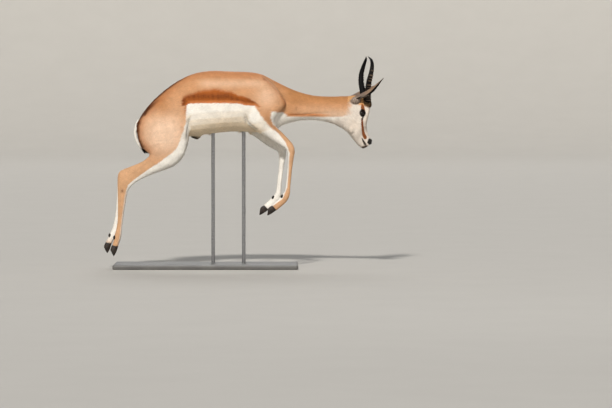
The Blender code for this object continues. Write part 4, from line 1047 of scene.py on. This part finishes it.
def tuft_mesh(name, roots, normals, ways, size, colours, map_places, mat):
    """Closed leaf-shaped tufts that lie along the skin, shaded like the form they lie on."""
    count = len(roots)
    length, width, rise = size[:, 0:1], size[:, 1:2], size[:, 2:3]
    across = np.cross(normals, ways)
    bend = across * length * random.uniform(-0.10, 0.10, (count, 1))
    lift = normals * rise * random.uniform(0.7, 1.2, (count, 1))
    tip = normals * rise * random.uniform(0.2, 1.3, (count, 1))
    middle = roots + ways * 0.36 * length + bend * 0.3
    points = np.empty((count, 5, 3))
    points[:, 0] = roots - normals * LEAF_ROOT_DEPTH - ways * 0.05 * length
    points[:, 1] = middle + across * width * 0.5 + lift * 0.25
    points[:, 2] = middle - across * width * 0.5 + lift * 0.25
    points[:, 3] = middle + lift * 1.5
    points[:, 4] = roots + ways * length + tip + bend
    facing = np.repeat(normals[:, None], 5, 1)
    facing[:, 1] += across * LEAF_FAN
    facing[:, 2] -= across * LEAF_FAN
    facing[:, 4] += ways * 0.15
    # Each tuft is darker at its root, painted shade where it meets the skin, and lighter at its tip.
    shades = np.empty((count, 5, 3))
    shades[:, 0] = colours * 0.93
    shades[:, 1:4] = colours[:, None]
    shades[:, 4] = np.minimum(colours * 1.06, 1)
    mesh = bpy.data.meshes.new(name)
    mesh.vertices.add(count * 5)
    mesh.vertices.foreach_set("co", points.astype(np.float32).ravel())
    faces = (LEAF_FACES[None] + (np.arange(count) * 5)[:, None, None]).reshape(-1, 3)
    mesh.loops.add(faces.size)
    mesh.loops.foreach_set("vertex_index", faces.astype(np.int32).ravel())
    mesh.polygons.add(len(faces))
    mesh.polygons.foreach_set("loop_start", np.arange(0, faces.size, 3, dtype=np.int32))
    mesh.update(calc_edges=True)
    smooth_faces(mesh)
    shading = unit(facing)[:, LEAF_FACES]
    shading[:, UNDERSIDES] = unit(ways - 0.25 * normals)[:, None, None]
    mesh.normals_split_custom_set(shading.reshape(-1, 3).tolist())
    paint(mesh, shades.reshape(-1, 3))
    places = map_places[:, None, :] + LEAF_MAP[None] * LEAF_MAP_SIZE
    corners = places.reshape(-1, 2)[faces.ravel()]
    layer = mesh.uv_layers.new(name="OFBake")
    layer.data.foreach_set("uv", np.clip(corners, 0.001, 0.999).astype(np.float32).ravel())
    mesh.materials.append(mat)
    obj = new_object(name, mesh)
    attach(obj, "root")


TILE_RIM = 0.003
TILES = {   # each part's place on the unwrap: left, low, width, height
    "torso": (0.0, 0.0, 0.46, 0.50), "neck": (0.0, 0.51, 0.22, 0.22), "head": (0.47, 0.0, 0.26, 0.30),
    "ear_left": (0.74, 0.0, 0.12, 0.30), "ear_right": (0.87, 0.0, 0.12, 0.30),
    "tail": (0.23, 0.51, 0.12, 0.22),
    "forearm_left": (0.47, 0.31, 0.17, 0.22), "forearm_right": (0.65, 0.31, 0.17, 0.22),
    "fore_cannon_left": (0.83, 0.31, 0.08, 0.34), "fore_cannon_right": (0.92, 0.31, 0.07, 0.34),
    "thigh_left": (0.0, 0.74, 0.24, 0.25), "thigh_right": (0.25, 0.74, 0.24, 0.25),
    "shank_left": (0.50, 0.74, 0.12, 0.25), "shank_right": (0.63, 0.74, 0.12, 0.25),
    "hind_cannon_left": (0.76, 0.66, 0.08, 0.33), "hind_cannon_right": (0.85, 0.66, 0.08, 0.33),
}


def unwrapped(points, normals, labels):
    """Places on a map of the skin: each part is unrolled round its own long axis."""
    places = np.zeros((len(points), 2))
    own_n = turned_way(normals, -HEAD_TURN)
    for index, name in enumerate(FLESH):
        mine = labels == index
        if not mine.any():
            continue
        p = points[mine]
        middle = p.mean(0)
        _, _, axes = np.linalg.svd((p - middle)[:: max(1, len(p) // 4000)], full_matrices=False)
        local = (p - middle) @ axes.T
        along = (local[:, 0] - local[:, 0].min()) / np.ptp(local[:, 0])
        round_it = (np.arctan2(local[:, 2], local[:, 1]) + math.pi) / (2 * math.pi)
        if name.startswith("ear"):
            opening = np.array(EAR_AIMS[name[4:]][1])
            inner = (own_n[mine] @ unit(opening)) > 0
            spread = (local[:, 1] - local[:, 1].min()) / np.ptp(local[:, 1])
            round_it = spread * 0.49 + np.where(inner, 0.51, 0.0)
        left, low, wide, high = TILES[name]
        places[mine, 0] = left + TILE_RIM + round_it * (wide - 2 * TILE_RIM)
        places[mine, 1] = low + TILE_RIM + along * (high - 2 * TILE_RIM)
    return places


BAND = 0.006              # thickness of the slices along x that the faces are dressed in
SPIN = 0.11               # of a tuft from the way the coat lies, in radians
SIZES = (0.78, 1.22)      # of a tuft, against its part's
WIDTHS = (0.85, 1.15)
LIGHTNESS = (0.94, 1.05)
COAT_PIECES = {
    "coat_torso": ("torso",), "coat_neck": ("neck", "tail"), "coat_head": ("head", "ear"),
    "coat_fore_left": ("forearm_left", "fore_cannon_left"),
    "coat_fore_right": ("forearm_right", "fore_cannon_right"),
    "coat_hind_left": ("thigh_left", "shank_left", "hind_cannon_left"),
    "coat_hind_right": ("thigh_right", "shank_right", "hind_cannon_right"),
}


def wanted_tufts(corner, normal, label):
    """The tufts' sizes on each face of the skin, and how many it should have beside others."""
    sides = corner[:, 1:] - corner[:, :1]
    area = np.linalg.norm(np.cross(sides[:, 0], sides[:, 1]), axis=1) / 2
    middle = corner.mean(1)
    values = coat_values(label, middle, normal)
    _, bare = markings(middle, normal, label)
    hidden = ease(1.22, 1.12, eye_distance(one_sided(own_frame(middle)))) * is_part(label, "head")
    return values, area * values[:, 3] * (1 - ease(0.2, 0.6, bare)) * (1 - hidden)


def dress(skin, labels, ways, shade, mat):
    """Grows the coat: roots spread evenly over the skin's faces, in pieces by part."""
    mesh = skin.data
    mesh.calc_loop_triangles()
    triangles = vectors_of(mesh.loop_triangles, "vertices", 3, np.int32)
    points, normals = points_of(mesh), normals_of(mesh)
    corner = points[triangles]
    face_label = labels[triangles[:, 0]]
    values, wanted = wanted_tufts(corner, unit(normals[triangles].mean(1)), face_label)
    order = np.lexsort((np.round(corner.mean(1)[:, 0] / BAND), face_label))
    total = np.cumsum(wanted[order])
    total *= TUFTS / total[-1]
    number = np.diff(np.floor(np.concatenate(([0], total)))).astype(int)
    face = np.repeat(order, number)
    a, b = random.random(len(face)), random.random(len(face))
    flip = a + b > 1
    a[flip], b[flip] = 1 - a[flip], 1 - b[flip]
    weights = np.stack((1 - a - b, a, b), 1)[:, :, None]
    root = (corner[face] * weights).sum(1)
    normal = unit((normals[triangles[face]] * weights).sum(1))
    way = tangent((ways[triangles[face]] * weights).sum(1), normal)
    label = face_label[face]
    spin = random.normal(0, SPIN, (len(face), 1))
    way = unit(way + np.cross(normal, way) * spin)
    size = values[face][:, :3] * random.uniform(*SIZES, (len(face), 1))
    size[:, 1:2] *= random.uniform(*WIDTHS, (len(face), 1))
    colour, _ = markings(root, normal, label)
    # The tufts get the same painted crease shade as the skin under them.
    colour = colour * (shade[triangles[face]] * weights[:, :, 0]).sum(1)[:, None]
    colour = colour * random.uniform(*LIGHTNESS, (len(face), 1))
    places = unwrapped(root, normal, label)
    for name, parts in COAT_PIECES.items():
        mine = np.flatnonzero(is_part(label, *parts))
        pieces = max(1, math.ceil(len(mine) / PIECE_TUFTS))
        for piece, chunk in enumerate(np.array_split(mine, pieces), 1):
            tuft_mesh(f"{name}_{piece}", root[chunk], normal[chunk], way[chunk], size[chunk],
                      colour[chunk], places[chunk], mat)


# Eyes, horns and hooves
def curve_points(line, count):
    """Catmull-Rom points along a line, evenly by its parameter."""
    p = np.array(line, float)
    p = np.concatenate((2 * p[:1] - p[1:2], p, 2 * p[-1:] - p[-2:-1]))
    t = np.linspace(0, len(line) - 1, count)
    i = np.minimum(t.astype(int), len(line) - 2)
    f = (t - i)[:, None]
    a, b, c, d = p[i], p[i + 1], p[i + 2], p[i + 3]
    square, cube = 2 * a - 5 * b + 4 * c - d, 3 * b - a - 3 * c + d
    return 0.5 * (2 * b + (c - a) * f + square * f**2 + cube * f**3)


def ring_faces(rings, sides):
    """Four-sided faces between rings of points, each with this many sides."""
    faces = []
    for start in range(0, (rings - 1) * sides, sides):
        for s in range(sides):
            after = (s + 1) % sides
            faces.append((start + s, start + after, start + sides + after, start + sides + s))
    return faces


HORN_RINGS = 13
HORN_DEPTH = 1.10         # of its oval section, against the radius
HORN_BREADTH = 0.92
RING_SWELL = 0.170


def make_horn(name, side, mat):
    """A horn's sheath: an oval tube with rings that are strong in front and fade at the top, their
    crests painted lighter on the front and outer side, partly wear and partly a painted highlight.
    """
    rings, sides = 260, 56
    line = curve_points(HORN_LINE, rings) * (1, side, 1)
    marks = np.linspace(0, len(HORN_RADII) - 1, rings)
    radii = np.interp(marks, range(len(HORN_RADII)), HORN_RADII)
    share = np.linspace(0, 1, rings)
    forward = unit(np.gradient(line, axis=0))
    across = unit(np.cross(forward, (1.0, 0, 0)))
    front = np.cross(across, forward)
    angle = np.linspace(0, 2 * math.pi, sides, endpoint=False)
    facing = 0.62 + 0.38 * np.cos(angle)
    phase = (share / 0.66) ** 0.92 * HORN_RINGS + 0.2 * np.sin(share * 37)
    ridge = np.maximum(0, np.sin(2 * math.pi * phase)) ** 0.7
    strength = ease(0.74, 0.55, share) * ease(0.0, 0.03, share)
    points, colours = [], []
    for k in range(rings):
        swell = 1 + RING_SWELL * ridge[k] * strength[k] * facing
        swell = swell + 0.012 * np.sin(5 * angle + 9 * share[k]) * (1 - share[k])
        r = radii[k] * swell / 1.08
        ahead = (HORN_DEPTH * r * np.cos(angle))[:, None]
        aside = (HORN_BREADTH * r * np.sin(angle))[:, None]
        points.append(line[k] + front[k] * ahead + across[k] * aside)
        upper = ease(0.6, 1.0, share[k])
        base = HORN_BLACK * (1 - upper) + HORN_TIP * upper
        # Ring crests lighter on the front and the outer side: partly wear, partly a painted highlight
        # where light falls.
        outward = side * (front[k, 1] * np.cos(angle) + across[k, 1] * np.sin(angle))
        light = ease(-0.5, 0.5, outward + 0.5 * np.cos(angle))
        light = ridge[k] * strength[k] * facing * light
        colours.append(base + (HORN_RING_WEAR_AND_HIGHLIGHT - base) * (0.72 * light**1.5)[:, None])
    points, colours = turned(np.concatenate(points)), np.concatenate(colours)
    faces = ring_faces(rings, sides)
    faces += [tuple(range(sides - 1, -1, -1)), tuple(range((rings - 1) * sides, rings * sides))]
    obj = mesh_object(name, points, faces)
    surfaced(obj, mat, colours)
    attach(obj, "root")
    return obj


def eye_colour(polar, u, v):
    """A level pupil in a dark iris, by the angle from the gaze and the place on the eyeball."""
    if (u / 0.36) ** 2 + (v / 0.21) ** 2 < 1 and polar < 1.5:
        return PUPIL
    if polar >= 0.86:
        return EYE_SIDE
    return IRIS_RIM if polar > 0.74 else IRIS


def make_eye(name, side, mat):
    """An eyeball with a shallow cornea, and an iris and pupil in its colours."""
    rings, sides = 48, 72
    middle = EYE_MIDDLE * (1, side, 1)
    gaze = unit(EYE_GAZE * (1, side, 1))
    level = unit(np.cross(np.cross(gaze, (1.0, 0, 0.2)), gaze))
    up = np.cross(level, gaze)
    points, colours = [middle + gaze * EYE_RADIUS], [EYE_FRONT]
    for k in range(1, rings):
        polar = math.pi * k / rings
        cornea = 0.05 * math.exp(-((polar / 0.55) ** 2))
        for s in range(sides):
            around = 2 * math.pi * s / sides
            out = level * math.cos(around) + up * math.sin(around)
            way = gaze * math.cos(polar) + out * math.sin(polar)
            points.append(middle + way * EYE_RADIUS * (0.985 + cornea * 0.6))
            u, v = math.sin(polar) * math.cos(around), math.sin(polar) * math.sin(around)
            colours.append(eye_colour(polar, u, v))
    points.append(middle - gaze * EYE_RADIUS)
    colours.append(EYE_BACK)
    last = len(points) - 1
    faces = [(0, 1 + s, 1 + (s + 1) % sides) for s in range(sides)]
    faces += [(a + 1, d + 1, c + 1, b + 1) for a, b, c, d in ring_faces(rings - 1, sides)]
    faces += [(last, last - sides + (s + 1) % sides, last - sides + s) for s in range(sides)]
    obj = mesh_object(name, turned(np.array(points)), faces)
    turn_faces_out(obj)
    surfaced(obj, mat, np.array(colours))
    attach(obj, "root")
    return obj


def make_hoof(node, mat):
    """A smoother, finer copy of a claw or dewclaw."""
    obj = remeshed(node + "_keratin", [node], 0.0, HOOF_VOXEL)
    set_points(obj.data, relaxed(points_of(obj.data), edges_of(obj.data), 10))
    surfaced(obj, mat)
    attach(obj, "root")
    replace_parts(obj, node)


# The pieces
skin = make_skin()
ends = edges_of(skin.data)
points = points_of(skin.data)
labels = part_labels(points)
fine = is_part(labels, "head", "ear").astype(float)
points = relaxed(points, ends, 14, 1 - 0.80 * fine)
points = filled(relaxed(points, ends, 3), ends)
set_points(skin.data, points)
normals = normals_of(skin.data)
depth = coat_values(labels, points, normals)[:, 2] * 1.4 + SWELL
push, shade = sculpted(points, normals, labels)
points = points + normals * (push - depth)[:, None]
set_points(skin.data, points)
normals = normals_of(skin.data)
ways = tangent(lies(points, labels), normals)
for _ in range(LIE_ROUNDS):
    ways = unit(0.3 * ways + 0.7 * averaged(ways, ends))
ways = tangent(ways, normals)
colours, bare = markings(points, normals, labels)
# The skin's colours are darkened by the painted crease shade.
surfaced(skin, skin_material(), colours * shade[:, None])
set_value(skin.data, "bare", bare)
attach(skin, "root")
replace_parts(skin, *FLESH)
dress(skin, labels, ways, shade, coat_material())

horn_look, eye_look, hoof_look = horn_material(), eye_material(), hoof_material()
for side_name, side in SIDES:
    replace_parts(make_horn("horn_sheath_" + side_name, side, horn_look), "horn_" + side_name)
    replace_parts(make_eye("eyeball_" + side_name, side, eye_look), "eye_" + side_name)
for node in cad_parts:
    if "claw" in node:
        make_hoof(node, hoof_look)
board_look, rod_look = board_material(), rod_material()
for node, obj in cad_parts.items():
    if node.startswith("stand_"):
        obj.data.materials.clear()
        obj.data.materials.append(board_look if node == "stand_base" else rod_look)


# The floor, the light and the camera
def make_floor():
    """A pale round floor whose far edge curves up, so that no horizon shows."""
    sides, flat, bend = 96, 24.0, 9.0
    profile = [(0.5, 0.0), (3.0, 0.0), (10.0, 0.0), (flat, 0.0)]
    for step in range(1, 17):
        angle = math.radians(step * 4.5)
        profile.append((flat + bend * math.sin(angle), bend * (1 - math.cos(angle))))
    points = [(0, 0, 0)]
    for radius, height in profile:
        for s in range(sides):
            a = 2 * math.pi * s / sides
            points.append((radius * math.cos(a), radius * math.sin(a), height))
    faces = [(0, 1 + s, 1 + (s + 1) % sides) for s in range(sides)]
    faces += [(a + 1, d + 1, c + 1, b + 1) for a, b, c, d in ring_faces(len(profile), sides)]
    floor = mesh_object("floor", points, faces)
    turn_faces_out(floor)
    surfaced(floor, floor_material())


def aimed(name, data, place, way):
    """A lamp or a camera at a place, with its back turned this way."""
    obj = new_object(name, data)
    obj.location = place
    obj.rotation_euler = way.to_track_quat("Z", "Y").to_euler()
    return obj


def sun(name, energy, azimuth, elevation, spread, colour=(1, 1, 1)):
    """A soft light that comes from this azimuth, 0 at the camera's side, and elevation."""
    data = bpy.data.lights.new(name, "SUN")
    data.energy = energy
    data.angle = math.radians(spread)
    data.color = colour
    a, e = math.radians(azimuth), math.radians(elevation)
    back = Vector((math.sin(a) * math.cos(e), -math.cos(a) * math.cos(e), math.sin(e)))
    aimed(name, data, (0, 0, 0), back)


def panel(name, energy, place, size, target=(0.1, 0, 0.6)):
    """A square lamp at a place, turned to its target."""
    data = bpy.data.lights.new(name, "AREA")
    data.energy = energy
    data.size = size
    aimed(name, data, place, Vector(place) - Vector(target))


make_floor()
sun("key", 2.95, -9, 35, 5, (1.0, 0.975, 0.935))
sun("fill", 0.16, 50, 25, 60, (0.92, 0.96, 1.0))
sun("rim", 1.0, 178, 40, 30)
panel("catchlight", 8, (2.2, -4.5, 2.8), 1.2)
world = bpy.data.worlds.new("studio")
bpy.context.scene.world = world
world.use_nodes = True
sky = world.node_tree.nodes["Background"]
sky.inputs["Color"].default_value = (0.86, 0.92, 1.0, 1)
sky.inputs["Strength"].default_value = 0.125

# The photograph is 612 by 408, at 4.9 mm to the pixel where the animal stands.
FRAME_WIDTH = 612 * 0.0049
CAMERA_DISTANCE = 19.0
CAMERA_ELEVATION = math.radians(2)
SENSOR_WIDTH = 36         # in millimetres
target = Vector((0.49, 0.0, 0.3136))
way = Vector((0, -math.cos(CAMERA_ELEVATION), math.sin(CAMERA_ELEVATION)))
data = bpy.data.cameras.new("camera")
data.sensor_width = SENSOR_WIDTH
data.sensor_fit = "HORIZONTAL"
data.lens = SENSOR_WIDTH * CAMERA_DISTANCE / FRAME_WIDTH
data.clip_end = 200
bpy.context.scene.camera = aimed("camera", data, target + way * CAMERA_DISTANCE, way)
bpy.context.scene.view_settings.view_transform = "Standard"
